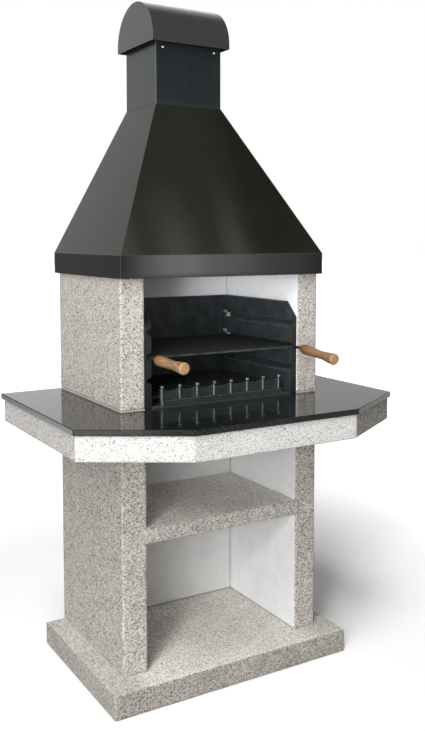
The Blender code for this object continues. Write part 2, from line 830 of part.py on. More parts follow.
def cooking_grid(pivot):
    """The welded grid that slides in the panels' grooves."""
    curve = rod_curve("cooking_grid", frame_path(), FRAME_ROD / 2)
    grid = add_part("cooking_grid", solid_from_curve("cooking_grid", curve), "steel_rod", pivot)
    grid.location = -pivot.location
    bar_level = GRID_AXIS + (FRAME_ROD - GRID_BAR) / 2 - WELD_DEPTH
    span = GRID_BACK - GRID_FRONT
    bars = []
    for index in range(GRID_BAR_COUNT):
        y = GRID_FRONT + span * (index + 1) / (GRID_BAR_COUNT + 1)
        bars.append(((-FRAME_HALF, y, bar_level), (FRAME_HALF, y, bar_level), GRID_BAR / 2))
    level = bar_level - (GRID_BAR + STIFFENER_ROD) / 2 + WELD_DEPTH
    stiffeners = []
    for side in (-1, 1):
        x = side * STIFFENER_SPREAD / 2
        stiffeners.append(((x, GRID_FRONT, level), (x, GRID_BACK, level), STIFFENER_ROD / 2))
    rail_ends = [(side * FRAME_HALF, GRID_FRONT, GRID_AXIS) for side in (-1, 1)]
    rail = [(*rail_ends, FRONT_RAIL / 2)]
    # The rail is joined last, where the bars and stiffeners already meet the frame.
    for name, rods in (("grid_bars", bars), ("grid_stiffeners", stiffeners), ("front_rail", rail)):
        boolean(grid, rods_cutter(name, rods), "UNION")


def turned(name, profile, finish_name, sides, parent, closed):
    """A turned piece: (radius, along) points, down the outer side first, swept about Z."""
    data = bpy.data.meshes.new(name)
    count = len(profile)
    edges = [(i, (i + 1) % count) for i in range(count if closed else count - 1)]
    data.from_pydata([(radius, 0.0, along) for radius, along in profile], edges, [])
    part = add_part(name, data, finish_name, parent)
    screw = part.modifiers.new("turn", "SCREW")
    screw.steps = sides
    screw.render_steps = sides
    screw.use_merge_vertices = True
    screw.merge_threshold = WELD_DISTANCE
    return part


def on_handle_axis(part, side, distance, pivot):
    """Place a turned piece with its +Z running out along a handle's axis."""
    part.location = tang_point(side, distance) - pivot.location
    part.rotation_euler = (math.pi / 2 + handle_droop(side), 0.0, 0.0)


def handles(pivot):
    """A ferrule and a turned wooden grip on each of the frame's forward ends."""
    bore = FRAME_ROD / 2 + TANG_CLEARANCE
    bore_end = TANG_LENGTH - FERRULE_LENGTH + OVERRUN
    ferrule = [
        (FERRULE_LARGE, FERRULE_LENGTH),
        (FERRULE_SMALL, 0.0),
        (bore, 0.0),
        (bore, FERRULE_LENGTH),
    ]
    round_middle = (GRIP_END - GRIP_ROUND, GRIP_LENGTH - GRIP_ROUND)
    rounded_end = arc(round_middle, GRIP_ROUND, math.pi / 2, 0.0, GRIP_ROUND_STEPS)
    grip = [
        (0.0, GRIP_LENGTH),
        *rounded_end,
        ((GRIP_WAIST + GRIP_END) / 2, GRIP_LENGTH * GRIP_FLARE_SHARE),
        (GRIP_WAIST, GRIP_LENGTH * GRIP_WAIST_SHARE),
        ((GRIP_ROOT + GRIP_WAIST) / 2, GRIP_LENGTH * GRIP_TAPER_SHARE),
        (GRIP_ROOT, GRIP_LENGTH * GRIP_BULGE_SHARE),
        ((GRIP_ROOT + FERRULE_LARGE) / 2, GRIP_LENGTH * GRIP_SHOULDER_SHARE),
        (FERRULE_LARGE, 0.0),
        (bore, 0.0),
        (bore, bore_end),
        (0.0, bore_end),
    ]
    for name, side in (("left", -1), ("right", 1)):
        collar = turned(name + "_ferrule", ferrule, "zinc", ROUND_SIDES, pivot, closed=True)
        on_handle_axis(collar, side, 0.0, pivot)
        wood = turned(name + "_grip", grip, "turned_wood", ROUND_SIDES, pivot, closed=False)
        on_handle_axis(wood, side, FERRULE_LENGTH + FIT, pivot)


def hood():
    """The folded hood: rim, four slopes, a shoulder for the duct and a neck inside it."""
    neck = DUCT_WIDTH / 2 - SHEET - FIT
    inward = SHEET + FIT
    rings = [
        (HOOD_WIDTH / 2, HOOD_FRONT, HOOD_BACK, RIM_FOOT),
        (HOOD_WIDTH / 2, HOOD_FRONT, HOOD_BACK, RIM_TOP),
        (DUCT_WIDTH / 2, DUCT_FRONT, DUCT_BACK, DUCT_FOOT),
        (neck, DUCT_FRONT + inward, DUCT_BACK - inward, DUCT_FOOT),
        (neck, DUCT_FRONT + inward, DUCT_BACK - inward, DUCT_FOOT + NECK_HEIGHT),
    ]
    canopy = add_part("hood", rectangle_loft("hood", rings), "hood_paint")
    thicken(canopy, SHEET)


def seat_ring():
    """The angle-iron ring on the wall tops that carries the hood."""
    reach = SHEET + FIT
    half = HOOD_WIDTH / 2 - reach
    front = HOOD_FRONT + reach
    back = HOOD_BACK - reach
    foot = WALL_TOP + FIT
    rings = [
        (half - SEAT_LEG, front + SEAT_LEG, back - SEAT_LEG, foot),
        (half, front, back, foot),
        (half, front, back, RIM_TOP - reach),
    ]
    ring = add_part("hood_seat_ring", rectangle_loft("hood_seat_ring", rings), "cast_iron")
    thicken(ring, SEAT_IRON)
    for side in (-1, 1):
        for number, place in enumerate(anchor_places(side)):
            name = "ring_anchor_hole_%d_%d" % (side, number)
            boolean(ring, anchor_cutter(name, place), "DIFFERENCE")


def anchor_places(side):
    """The (x, y) of the two wall anchors on one side."""
    x = side * (HOOD_WIDTH / 2 - SHEET - FIT - SEAT_LEG * ANCHOR_ON_LEG_SHARE)
    return [(x, WALLS_FRONT + ANCHOR_FROM_END), (x, WALLS_BACK - ANCHOR_FROM_END)]


def anchor_cutter(name, place):
    """The hole that an anchor's shank passes down, through the ring and into the wall."""
    length = ANCHOR_LENGTH + SEAT_IRON + 2 * OVERRUN
    cutter = add_cutter(name, cylinder_mesh(name, ANCHOR_SHANK + ANCHOR_CLEARANCE, length))
    top = WALL_TOP + FIT + SEAT_IRON + OVERRUN
    cutter.location = (*place, top - length / 2)
    return cutter


def pin_with_head(name, head, head_height, shank, length, finish_name):
    """A screw along Z: its head stands on z = 0 and its shank runs down from there."""
    data = cylinder_mesh(name, head, head_height)
    part = add_part(name, data, finish_name)
    data.transform(Matrix.Translation((0.0, 0.0, head_height / 2)))
    overlap = head_height / 2
    rod = add_cutter(name + "_shank", cylinder_mesh(name + "_shank", shank, length + overlap))
    rod.data.transform(Matrix.Translation((0.0, 0.0, (overlap - length) / 2)))
    boolean(part, rod, "UNION")
    return part, rod


def wall_anchors():
    """The four screws that hold the ring down on the walls."""
    number = 0
    for side in (-1, 1):
        for place in anchor_places(side):
            number += 1
            screw, rod = pin_with_head(
                "ring_anchor_%d" % number,
                ANCHOR_HEAD,
                ANCHOR_HEAD_HEIGHT,
                ANCHOR_SHANK,
                ANCHOR_LENGTH,
                "zinc",
            )
            screw.location = (*place, WALL_TOP + 2 * FIT + SEAT_IRON)
            rod.location = screw.location


def duct():
    """The square chimney duct, over the hood's neck, with its four screw holes."""
    half = DUCT_WIDTH / 2
    foot = DUCT_FOOT + FIT
    rings = [
        (half, DUCT_FRONT, DUCT_BACK, foot),
        (half, DUCT_FRONT, DUCT_BACK, foot + DUCT_LENGTH),
    ]
    tube = add_part("chimney_duct", rectangle_loft("chimney_duct", rings), "hood_paint")
    thicken(tube, SHEET)
    boolean(tube, screw_holes("duct_screw_holes"), "DIFFERENCE")


def screw_holes(name):
    """Two level holes that run right through the duct and both straps."""
    shape = bmesh.new()
    length = DUCT_BACK - DUCT_FRONT + 2 * OVERRUN
    for side in (-1, 1):
        place = Matrix.Translation((side * STRAP_SPREAD / 2, DUCT_MIDDLE, SCREW_HEIGHT))
        bmesh.ops.create_cone(
            shape,
            cap_ends=True,
            segments=ROUND_SIDES,
            radius1=SCREW_SHANK + FIT,
            radius2=SCREW_SHANK + FIT,
            depth=length,
            matrix=place @ Matrix.Rotation(math.pi / 2, 4, "X"),
        )
    return add_cutter(name, mesh_from(name, shape))


def cap_outline():
    """The cap's arch from the side, as (y, z) points."""
    crown = arc((DUCT_MIDDLE, CAP_SPRING), CAP_RADIUS, 0.0, math.pi, CAP_SEGMENTS)
    return [(DUCT_MIDDLE + CAP_RADIUS, CAP_FOOT), *crown, (DUCT_MIDDLE - CAP_RADIUS, CAP_FOOT)]


def chimney_cap():
    """The barrel cap: an arched sheet with closed ends, open underneath."""
    curve = outline_curve("chimney_cap", [cap_outline()], DUCT_WIDTH + 2 * CAP_OVERHANG)
    data = solid_from_curve("chimney_cap", curve, SIDE_VIEW)
    shape = bmesh.new()
    shape.from_mesh(data)
    underside = [face for face in shape.faces if all(vert.co.z < CAP_FOOT + FIT for vert in face.verts)]
    bmesh.ops.delete(shape, geom=underside, context="FACES")
    shape.to_mesh(data)
    shape.free()
    cap = add_part("chimney_cap", data, "hood_paint")
    thicken(cap, SHEET)


def cap_straps():
    """Two bent straps inside the duct that hold the cap up."""
    outer = (DUCT_BACK - DUCT_FRONT) / 2 - SHEET - FIT
    inner = outer - STRAP_IRON
    foot = CAP_FOOT - STRAP_FOOT
    inside = CAP_RADIUS - SHEET - FIT
    # The crown is a polygon, so the strap's corners stop at its flats rather than at its circle.
    flat = inside * math.cos(math.pi / CAP_SEGMENTS / 2)
    top = CAP_SPRING + math.sqrt(flat * flat - outer * outer)
    outline = [
        (DUCT_MIDDLE - outer, foot),
        (DUCT_MIDDLE - outer, top),
        (DUCT_MIDDLE + outer, top),
        (DUCT_MIDDLE + outer, foot),
        (DUCT_MIDDLE + inner, foot),
        (DUCT_MIDDLE + inner, top - STRAP_IRON),
        (DUCT_MIDDLE - inner, top - STRAP_IRON),
        (DUCT_MIDDLE - inner, foot),
    ]
    holes = screw_holes("strap_screw_holes")
    for name, side in (("cap_strap_left", -1), ("cap_strap_right", 1)):
        curve = outline_curve(name, [outline], STRAP_WIDTH)
        strap = add_part(name, solid_from_curve(name, curve, SIDE_VIEW), "cast_iron")
        strap.location.x = side * STRAP_SPREAD / 2
        boolean(strap, holes, "DIFFERENCE")


def cap_screws():
    """The four bright screws through the duct and the straps."""
    for row, face, turn in (("front", DUCT_FRONT, 1), ("back", DUCT_BACK, -1)):
        for name, side in (("left", -1), ("right", 1)):
            screw, rod = pin_with_head(
                "cap_screw_%s_%s" % (row, name),
                SCREW_HEAD,
                SCREW_HEAD_HEIGHT,
                SCREW_SHANK,
                SCREW_LENGTH,
                "zinc",
            )
            screw.location = (side * STRAP_SPREAD / 2, face - turn * FIT, SCREW_HEIGHT)
            screw.rotation_euler = (turn * math.pi / 2, 0.0, 0.0)
            rod.location = screw.location
            rod.rotation_euler = screw.rotation_euler


def shade_round_parts():
    """Smooth the turned pieces, the cap and the rods, and keep their sharp edges."""
    for name in ("cooking_grid", "chimney_cap", "left_grip", "right_grip"):
        data = bpy.data.objects[name].data
        data.shade_smooth()
        data.set_sharp_from_angle(angle=SHARP_ANGLE)


def main():
    start_scene()
    base_slab()
    lower_walls()
    storage_shelf()
    worktop()
    upper_walls()
    firebox_panels()
    fireback()
    hearth_plate()
    ember_guard(add_pivot("guard_pivot", (0.0, GUARD_FACE, HEARTH_TOP)))
    charcoal_grate(add_pivot("grate_pivot", (0.0, GRATE_FRONT, HEARTH_TOP)))
    grid_pivot = add_pivot("grid_pivot", (0.0, GRID_FRONT, GRID_AXIS))
    cooking_grid(grid_pivot)
    handles(grid_pivot)
    hood()
    seat_ring()
    wall_anchors()
    duct()
    chimney_cap()
    cap_straps()
    cap_screws()
    shade_round_parts()


main()
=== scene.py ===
"""Looks of an outdoor masonry barbecue.

Stone-chip blocks, a granite worktop, cast iron, a folded hood and turned grips. Every place comes
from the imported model, whose nodes the pieces here replace. Metres, +Z up, front at -Y.
"""
import logging
import math
from dataclasses import dataclass, field
from enum import Enum
from typing import Iterable, Sequence

import bmesh
import bpy
from mathutils import Matrix, Vector, noise


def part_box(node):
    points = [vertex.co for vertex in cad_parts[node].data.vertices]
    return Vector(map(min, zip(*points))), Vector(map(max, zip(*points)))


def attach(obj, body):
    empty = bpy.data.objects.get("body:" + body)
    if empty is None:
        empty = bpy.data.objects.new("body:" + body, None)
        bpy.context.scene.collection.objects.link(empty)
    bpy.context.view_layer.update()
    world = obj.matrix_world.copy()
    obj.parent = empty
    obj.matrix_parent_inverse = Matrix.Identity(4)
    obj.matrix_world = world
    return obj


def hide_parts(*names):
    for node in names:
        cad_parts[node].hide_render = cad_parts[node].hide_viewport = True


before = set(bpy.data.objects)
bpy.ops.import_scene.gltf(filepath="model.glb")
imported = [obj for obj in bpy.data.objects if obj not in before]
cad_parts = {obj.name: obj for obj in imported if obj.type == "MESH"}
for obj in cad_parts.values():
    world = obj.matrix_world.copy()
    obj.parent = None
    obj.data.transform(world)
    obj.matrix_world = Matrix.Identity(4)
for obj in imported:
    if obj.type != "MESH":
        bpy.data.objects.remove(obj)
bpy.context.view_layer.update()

LOG = logging.getLogger("barbecue")

Colour = tuple[float, float, float]
Point = tuple[float, float, float]
Pair = tuple[float, float]
Shape = bmesh.types.BMesh
Material = bpy.types.Material

MM = 0.001
WELD = 0.01 * MM
FIT = 0.3 * MM
FLAT_ANGLE = math.radians(0.5)
SHARP_ANGLE = math.radians(25.0)
SMOOTH_ANGLE = math.radians(38.0)
SQUARELY = 0.9
LARGELY = 0.7
PARTLY = 0.5
SIDE_VIEW = Matrix(((0, 0, 1, 0), (1, 0, 0, 0), (0, 1, 0, 0), (0, 0, 0, 1)))


class Body(Enum):
    """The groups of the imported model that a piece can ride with."""

    MASONRY = "masonry"
    GRID = "grid"
    GUARD = "guard"
    GRATE = "grate"


class Slot(Enum):
    """The record's material slots."""

    STONE = "stone_chip"
    WORKTOP = "worktop_concrete"
    WHITE = "white_concrete"
    MORTAR = "mortar"
    GRANITE = "black_granite"
    IRON = "firebox_iron"
    GRID = "grid_steel"
    ZINC = "zinc_steel"
    FRAME = "frame_steel"
    HOOD = "hood_paint"
    WOOD = "turned_wood"


class Signal:
    """A shader socket that takes part in sums and products."""

    def __init__(self, wiring: "Wiring", socket: bpy.types.NodeSocket) -> None:
        """Wrap one output socket of a node tree."""
        self.wiring = wiring
        self.socket = socket

    def _maths(self, operation: str, first: "Term", second: "Term") -> "Signal":
        """Join two terms with the Math node of an operation."""
        return self.wiring.node("ShaderNodeMath", {"operation": operation}, {0: first, 1: second})

    def __add__(self, other: "Term") -> "Signal":
        """Self plus other."""
        return self._maths("ADD", self, other)

    def __radd__(self, other: "Term") -> "Signal":
        """Other plus self."""
        return self._maths("ADD", other, self)

    def __sub__(self, other: "Term") -> "Signal":
        """Self minus other."""
        return self._maths("SUBTRACT", self, other)

    def __rsub__(self, other: "Term") -> "Signal":
        """Other minus self."""
        return self._maths("SUBTRACT", other, self)

    def __mul__(self, other: "Term") -> "Signal":
        """Self times other."""
        return self._maths("MULTIPLY", self, other)

    def __rmul__(self, other: "Term") -> "Signal":
        """Other times self."""
        return self._maths("MULTIPLY", other, self)

    def other(self, output: str) -> "Signal":
        """Another output of the node that this signal comes from."""
        return Signal(self.wiring, self.socket.node.outputs[output])

    def rise(self, low: float, high: float) -> "Signal":
        """A soft step that is 0 below low and 1 above high."""
        settings = {"interpolation_type": "SMOOTHSTEP"}
        return self.wiring.node("ShaderNodeMapRange", settings, {0: self, 1: low, 2: high})


Term = Signal | float
Tint = Signal | Colour


class Wiring:
    """A node tree, written as expressions."""

    def __init__(self, tree: bpy.types.NodeTree) -> None:
        """Take a node tree."""
        self.tree = tree

    def node(
        self,
        kind: str,
        settings: dict[str, object] | None = None,
        inputs: dict[int | str, object] | None = None,
        output: int | str = 0,
    ) -> Signal:
        """Add one node.

        Args:
            kind: Blender's type name of the node.
            settings: Its properties, set first. The key stops holds a ramp's (start, colour) steps.
            inputs: A signal, number or tuple for each socket, by index or name.
            output: The output socket to return, by index or name.

        Returns:
            That output as a signal.
        """
        made = self.tree.nodes.new(kind)
        for key, value in (settings or {}).items():
            if key == "stops":
                self._set_stops(made.color_ramp, value)
            else:
                setattr(made, key, value)
        for key, value in (inputs or {}).items():
            self.feed(made.inputs[key], value)
        return Signal(self, made.outputs[output])

    def feed(self, socket: bpy.types.NodeSocket, value: object) -> None:
        """Link a signal to a socket, or set the socket's own value.

        Args:
            socket: The input socket.
            value: A signal, a number or a tuple.
        """
        if isinstance(value, Signal):
            self.tree.links.new(value.socket, socket)
        elif isinstance(value, tuple) and socket.type == "RGBA":
            socket.default_value = (*value[:3], 1.0)
        else:
            socket.default_value = value

    @staticmethod
    def _set_stops(ramp: bpy.types.ColorRamp, stops: Sequence[tuple[float, Colour]]) -> None:
        """Give a colour ramp constant steps.

        Args:
            ramp: The ramp.
            stops: Each step's start and colour, in order.
        """
        ramp.interpolation = "CONSTANT"
        while len(ramp.elements) > 1:
            ramp.elements.remove(ramp.elements[-1])
        for index, (position, colour) in enumerate(stops):
            element = ramp.elements[0] if index == 0 else ramp.elements.new(position)
            element.position = position
            element.color = (*colour, 1.0)

    def seen(self) -> Signal:
        """1 for the eye, for gloss and for glass, and 0 for plain light."""
        path = self.node("ShaderNodeLightPath", output="Is Camera Ray")
        return path + path.other("Is Glossy Ray") + path.other("Is Transmission Ray")


class Recipe(Wiring):
    """The node tree of one material."""

    def __init__(self, name: str) -> None:
        """Start a material with its Principled shader.

        Args:
            name: The material's name.
        """
        self.material = bpy.data.materials.new(name)
        self.material.use_nodes = True
        super().__init__(self.material.node_tree)
        self.shader = self.tree.nodes["Principled BSDF"]

    def place(self, stretch: Point = (1.0, 1.0, 1.0)) -> Signal:
        """The piece's own coordinates in metres, stretched by a factor for each axis."""
        own = self.node("ShaderNodeTexCoord", output="Object")
        return self.node("ShaderNodeVectorMath", {"operation": "MULTIPLY"}, {0: own, 1: stretch})

    def along(self, axis: str) -> Signal:
        """The piece's own X, Y or Z in metres."""
        return self.node("ShaderNodeSeparateXYZ", inputs={0: self.place()}, output=axis)

    def noise(self, place: Signal, size: float, detail: float = 2.0) -> Signal:
        """Soft noise about 0.5, its patches of that size in metres, with finer octaves."""
        sockets = {"Vector": place, "Scale": 1.0 / size, "Detail": detail}
        return self.node("ShaderNodeTexNoise", inputs=sockets)

    def cells(self, place: Signal, size: float) -> tuple[Signal, Signal]:
        """A packing of grains.

        Args:
            place: The coordinates.
            size: The size of a grain in metres.

        Returns:
            The distance from each grain's middle, and a random number for each grain.
        """
        distance = self.node("ShaderNodeTexVoronoi", inputs={"Vector": place, "Scale": 1.0 / size})
        colour = distance.other("Color")
        return distance, self.node("ShaderNodeSeparateColor", inputs={0: colour})

    def jitter(self, place: Signal, size: float, reach: float) -> Signal:
        """Coordinates bent by noise, so that grains are irregular.

        Args:
            place: The coordinates.
            size: The size of the noise's patches in metres.
            reach: How far it moves a point, in metres.

        Returns:
            The bent coordinates as a signal.
        """
        bend = self.noise(place, size).other("Color")
        moved = self.shade(bend, reach)
        return self.node("ShaderNodeVectorMath", {"operation": "ADD"}, {0: place, 1: moved})

    def blend(self, share: Term, first: Tint, second: Tint) -> Signal:
        """Mix two colours, with a share of the second from 0 to 1."""
        return self.node("ShaderNodeMix", {"data_type": "RGBA"}, {0: share, 6: first, 7: second}, 2)

    def shade(self, colour: Tint, level: Term) -> Signal:
        """Scale a colour or a vector by a factor."""
        sockets = {0: colour, "Scale": level}
        return self.node("ShaderNodeVectorMath", {"operation": "SCALE"}, sockets)

    def steps(self, value: Signal, stops: Sequence[tuple[float, Colour]]) -> Signal:
        """Pick a colour by value, from each step's start and colour in order."""
        return self.node("ShaderNodeValToRGB", {"stops": stops}, {0: value})

    def mark(self, name: str) -> Signal:
        """A number that the mesh carries for each of its faces."""
        return self.node("ShaderNodeAttribute", {"attribute_name": name}, output="Fac")

    def relief(self, height: Signal, depth: float) -> None:
        """Turn a height from 0 to 1 into bumps of that depth in metres."""
        sockets = {"Distance": depth, "Height": height}
        self.surface(Normal=self.node("ShaderNodeBump", inputs=sockets))

    def surface(self, **sockets: object) -> Material:
        """Set or link sockets of the shader.

        Args:
            sockets: The values by socket name, with an underscore for each space.

        Returns:
            The material.
        """
        for name, value in sockets.items():
            self.feed(self.shader.inputs[name.replace("_", " ")], value)
        return self.material


@dataclass(frozen=True)
class StoneChips:
    """Washed concrete: marble chips of several tones in a sandy paste."""

    name: str
    paste: Colour
    pale: Colour
    middle: Colour
    brown: Colour
    dark: Colour
    starts: Point
    chip: float = 4.3 * MM
    sand: float = 1.8 * MM
    depth: float = 0.55 * MM
    pale_sand: float = 0.55
    dark_sand: float = 0.8
    gap: Pair = (0.42, 0.62)
    patch: float = 90 * MM
    patchiness: Pair = (0.86, 0.28)
    painted_niche_light: float = 0.0
    outside_level: float = 0.90
    niche_reach: Pair = (0.28, 0.36)

    def material(self) -> Material:
        """Mix the concrete, with a painted pool of light within the niche's reach from the middle
        where one is set.

        Returns:
            The material.
        """
        recipe = Recipe(self.name)
        place = recipe.place()
        away, pick = recipe.cells(recipe.jitter(place, self.chip, self.chip / 2), self.chip)
        sand_away, sand_pick = recipe.cells(place, self.sand)
        tones = (self.pale, self.middle, self.brown, self.dark)
        chips = recipe.steps(pick, list(zip((0.0, *self.starts), tones)))
        grains = [(0.0, self.paste), (self.pale_sand, self.pale), (self.dark_sand, self.dark)]
        between = away.rise(*self.gap)
        colour = recipe.blend(between, chips, recipe.steps(sand_pick, grains))
        least, swing = self.patchiness
        colour = recipe.shade(colour, least + swing * recipe.noise(place, self.patch, 3.0))
        # A painted pool of light: lighter inside the niches, darker outside.
        if self.painted_niche_light:
            across = recipe.along("X")
            near, far = self.niche_reach
            inside = across.rise(-far, -near) * (1.0 - across.rise(near, far))
            colour = recipe.shade(colour, self.outside_level + self.painted_niche_light * inside)
        height = (1.0 - between) * (0.55 + 0.45 * pick) + 0.25 * (1.0 - sand_away)
        recipe.relief(height, self.depth)
        rough = 0.78 + 0.15 * pick
        return recipe.surface(Base_Color=colour, Roughness=rough, Specular_IOR_Level=0.35)


@dataclass(frozen=True)
class MouldedConcrete:
    """Smooth white concrete from the mould, with faint clouds, pinholes and painted shade on its
    eased edges.
    """

    name: str
    colour: Colour = (0.74, 0.745, 0.75)
    cloud: Colour = (0.62, 0.625, 0.63)
    seam_shade: Colour = (0.13, 0.125, 0.115)
    hole: Colour = (0.22, 0.21, 0.20)
    cloud_size: float = 60 * MM
    cloud_step: Pair = (0.40, 0.75)
    hole_pitch: float = 9 * MM
    hole_step: Pair = (0.05, 0.09)
    hole_choice: Pair = (0.72, 0.80)
    trowel_size: float = 30 * MM
    grit_size: float = 4 * MM
    depth: float = 0.25 * MM

    def material(self) -> Material:
        """Cast the surface.

        Returns:
            The material.
        """
        recipe = Recipe(self.name)
        place = recipe.place()
        clouds = recipe.noise(place, self.cloud_size, 4.0).rise(*self.cloud_step)
        pin_away, pin_pick = recipe.cells(place, self.hole_pitch)
        pinholes = (1.0 - pin_away.rise(*self.hole_step)) * pin_pick.rise(*self.hole_choice)
        trowel = recipe.noise(recipe.place((2.0, 2.0, 0.8)), self.trowel_size, 3.0)
        grit = recipe.noise(place, self.grit_size, 2.0)
        colour = recipe.blend(clouds * 0.45, self.colour, self.cloud)
        colour = recipe.shade(colour, 0.90 + 0.07 * trowel + 0.12 * grit)
        colour = recipe.blend(pinholes * 0.5, colour, self.hole)
        # Eased edges at the corner joints are darkened: painted shade.
        colour = recipe.blend(recipe.mark("eased_edge") * 0.85, colour, self.seam_shade)
        recipe.relief(trowel * 0.4 + grit * 0.4 - pinholes, self.depth)
        rough = 0.62 + 0.2 * clouds
        return recipe.surface(Base_Color=colour, Roughness=rough, Specular_IOR_Level=0.4)


@dataclass(frozen=True)
class Mortar:
    """Struck mortar of the walls' own colour, with coarse sand."""

    name: str
    colour: Colour
    sand: float = 1.4 * MM
    depth: float = 0.4 * MM

    def material(self) -> Material:
        """Mix the mortar.

        Returns:
            The material.
        """
        recipe = Recipe(self.name)
        away, pick = recipe.cells(recipe.place(), self.sand)
        recipe.relief(1.0 - away, self.depth)
        colour = recipe.shade(self.colour, 0.6 + 0.8 * pick)
        return recipe.surface(Base_Color=colour, Roughness=0.95)


@dataclass(frozen=True)
class Granite:
    """Black granite with small greenish and grey crystals."""

    name: str
    grey: Colour
    spark: Colour
    roughness: float
    specular: float = 0.5
    ground: Colour = (0.0045, 0.0055, 0.0055)
    crystal: float = 2.6 * MM
    fine_share: float = 0.4
    starts: Pair = (0.50, 0.82)
    spark_choice: Pair = (0.93, 0.96)
    spark_step: Pair = (0.25, 0.5)
    bend: Pair = (2.5 * MM, 1.6 * MM)
    clouding: float = 35 * MM
    depth: float = 0.004 * MM

    def material(self) -> Material:
        """Cut and finish the stone.

        Returns:
            The material.
        """
        recipe = Recipe(self.name)
        place = recipe.jitter(recipe.place(), *self.bend)
        away, pick = recipe.cells(place, self.crystal)
        small_away, small_pick = recipe.cells(place, self.crystal * self.fine_share)
        middle = tuple((low + high) / 2 for low, high in zip(self.ground, self.grey))
        tones = zip((0.0, *self.starts), (self.ground, middle, self.grey))
        colour = recipe.steps(pick, list(tones))
        sparks = small_pick.rise(*self.spark_choice) * (1.0 - small_away.rise(*self.spark_step))
        colour = recipe.blend(sparks, colour, self.spark)
        polish = self.roughness + 0.05 * recipe.noise(place, self.clouding)
        recipe.relief(0.5 * away + 0.5 * small_away, self.depth)
        recipe.surface(Base_Color=colour, Roughness=polish)
        return recipe.surface(IOR=1.52, Specular_IOR_Level=self.specular)


@dataclass(frozen=True)
class CastIron:
    """Sand-cast iron, near black, its edges paler as edge abrasion with a painted highlight, and
    pale where a glint is painted.
    """

    name: str
    skin: Colour
    bloom: Colour
    wear_and_sheen: Colour = (0.12, 0.13, 0.13)
    glint: Colour = (0.60, 0.61, 0.60)
    grain: float = 1.3 * MM
    wave: float = 14 * MM
    cloud: float = 45 * MM
    cloud_step: Pair = (0.35, 0.7)
    scuff: float = 9 * MM
    wear_step: Pair = (0.40, 0.56)
    scuff_step: Pair = (0.58, 0.75)
    depth: float = 0.5 * MM

    def material(self) -> Material:
        """Cast the iron.

        Returns:
            The material.
        """
        recipe = Recipe(self.name)
        place = recipe.place()
        sand = recipe.noise(place, self.grain, 3.0)
        waves = recipe.noise(place, self.wave, 2.0)
        clouds = recipe.noise(place, self.cloud, 4.0).rise(*self.cloud_step)
        scuffs = recipe.noise(recipe.place((1.0, 1.0, 0.35)), self.scuff, 4.0)
        eased_edge = recipe.mark("eased_edge") * scuffs.rise(*self.wear_step)
        colour = recipe.blend(clouds, self.skin, self.bloom)
        # Eased edges and scuffs turn to the pale edge colour: edge abrasion, and a painted
        # highlight along the ridges.
        colour = recipe.blend(eased_edge + 0.04 * scuffs.rise(*self.scuff_step), colour, self.wear_and_sheen)
        # Faces marked for a glint take a painted highlight colour.
        colour = recipe.blend(recipe.mark("painted_glint"), colour, self.glint)
        recipe.relief(0.5 * sand + 0.5 * waves, self.depth)
        rough = 0.62 - 0.2 * eased_edge - 0.08 * clouds
        return recipe.surface(Base_Color=colour, Roughness=rough, Metallic=0.35 + 0.4 * eased_edge)


@dataclass(frozen=True)
class CoatedSheet:
    """Satin coated steel sheet, with painted highlights on its folds and painted sheen in a few
    upright bands.
    """

    name: str
    coat: Colour
    fold: Colour
    roughness: float = 0.28
    specular: float = 0.20
    wear_and_sheen: Colour = (0.049, 0.0495, 0.040)
    sheen_bands: tuple[Point, ...] = ()
    sheen_band_heights: Pair = (1.35, 1.65)
    left_sheen_across: Pair = (0.02, 0.17)
    left_sheen: float = 0.17
    low_left_sheen: float = 0.05
    rolled_run: float = 55 * MM
    peel: float = 1.6 * MM
    peel_depth: float = 0.012 * MM
    dust_run: float = 130 * MM
    dust_step: Pair = (0.45, 0.8)

    def shine_mark(self, recipe: Recipe) -> Term:
        """Where sheen is painted on the sloping front: a soft band on its left, and upright bands
        that fade upwards.

        Args:
            recipe: The recipe that gets the nodes.

        Returns:
            The mask, 1 where the sheen is painted in full.
        """
        across = recipe.along("X")
        near = 1.0 - across.rise(*self.left_sheen_across)
        mask = self.low_left_sheen * near
        for middle, reach, share in self.sheen_bands:
            rising = across.rise(middle - reach, middle)
            mask = share * rising * (1.0 - across.rise(middle, middle + reach)) + mask
        low = 1.0 - across.other("Z").rise(*self.sheen_band_heights)
        return (mask * low + self.left_sheen * near) * recipe.mark("slope")

    def material(self) -> Material:
        """Coat the sheet.

        Returns:
            The material.
        """
        recipe = Recipe(self.name)
        rolled = recipe.noise(recipe.place((1.0, 1.0, 0.06)), self.rolled_run, 3.0)
        dust = recipe.noise(recipe.place(), self.dust_run, 5.0).rise(*self.dust_step)
        colour = recipe.shade(self.coat, 0.86 + 0.28 * rolled)
        if self.sheen_bands:
            # Painted reflection: the sheen bands lighten the coat.
            colour = recipe.blend(self.shine_mark(recipe), colour, self.wear_and_sheen)
        colour = recipe.blend(0.04 * dust, colour, self.fold)
        # Eased folds turn paler: painted highlight.
        colour = recipe.blend(recipe.mark("eased_edge") * 0.8, colour, self.fold)
        recipe.relief(recipe.noise(recipe.place(), self.peel, 1.0), self.peel_depth)
        recipe.surface(Base_Color=colour, Specular_IOR_Level=self.specular)
        return recipe.surface(Roughness=self.roughness - 0.03 + 0.06 * rolled)


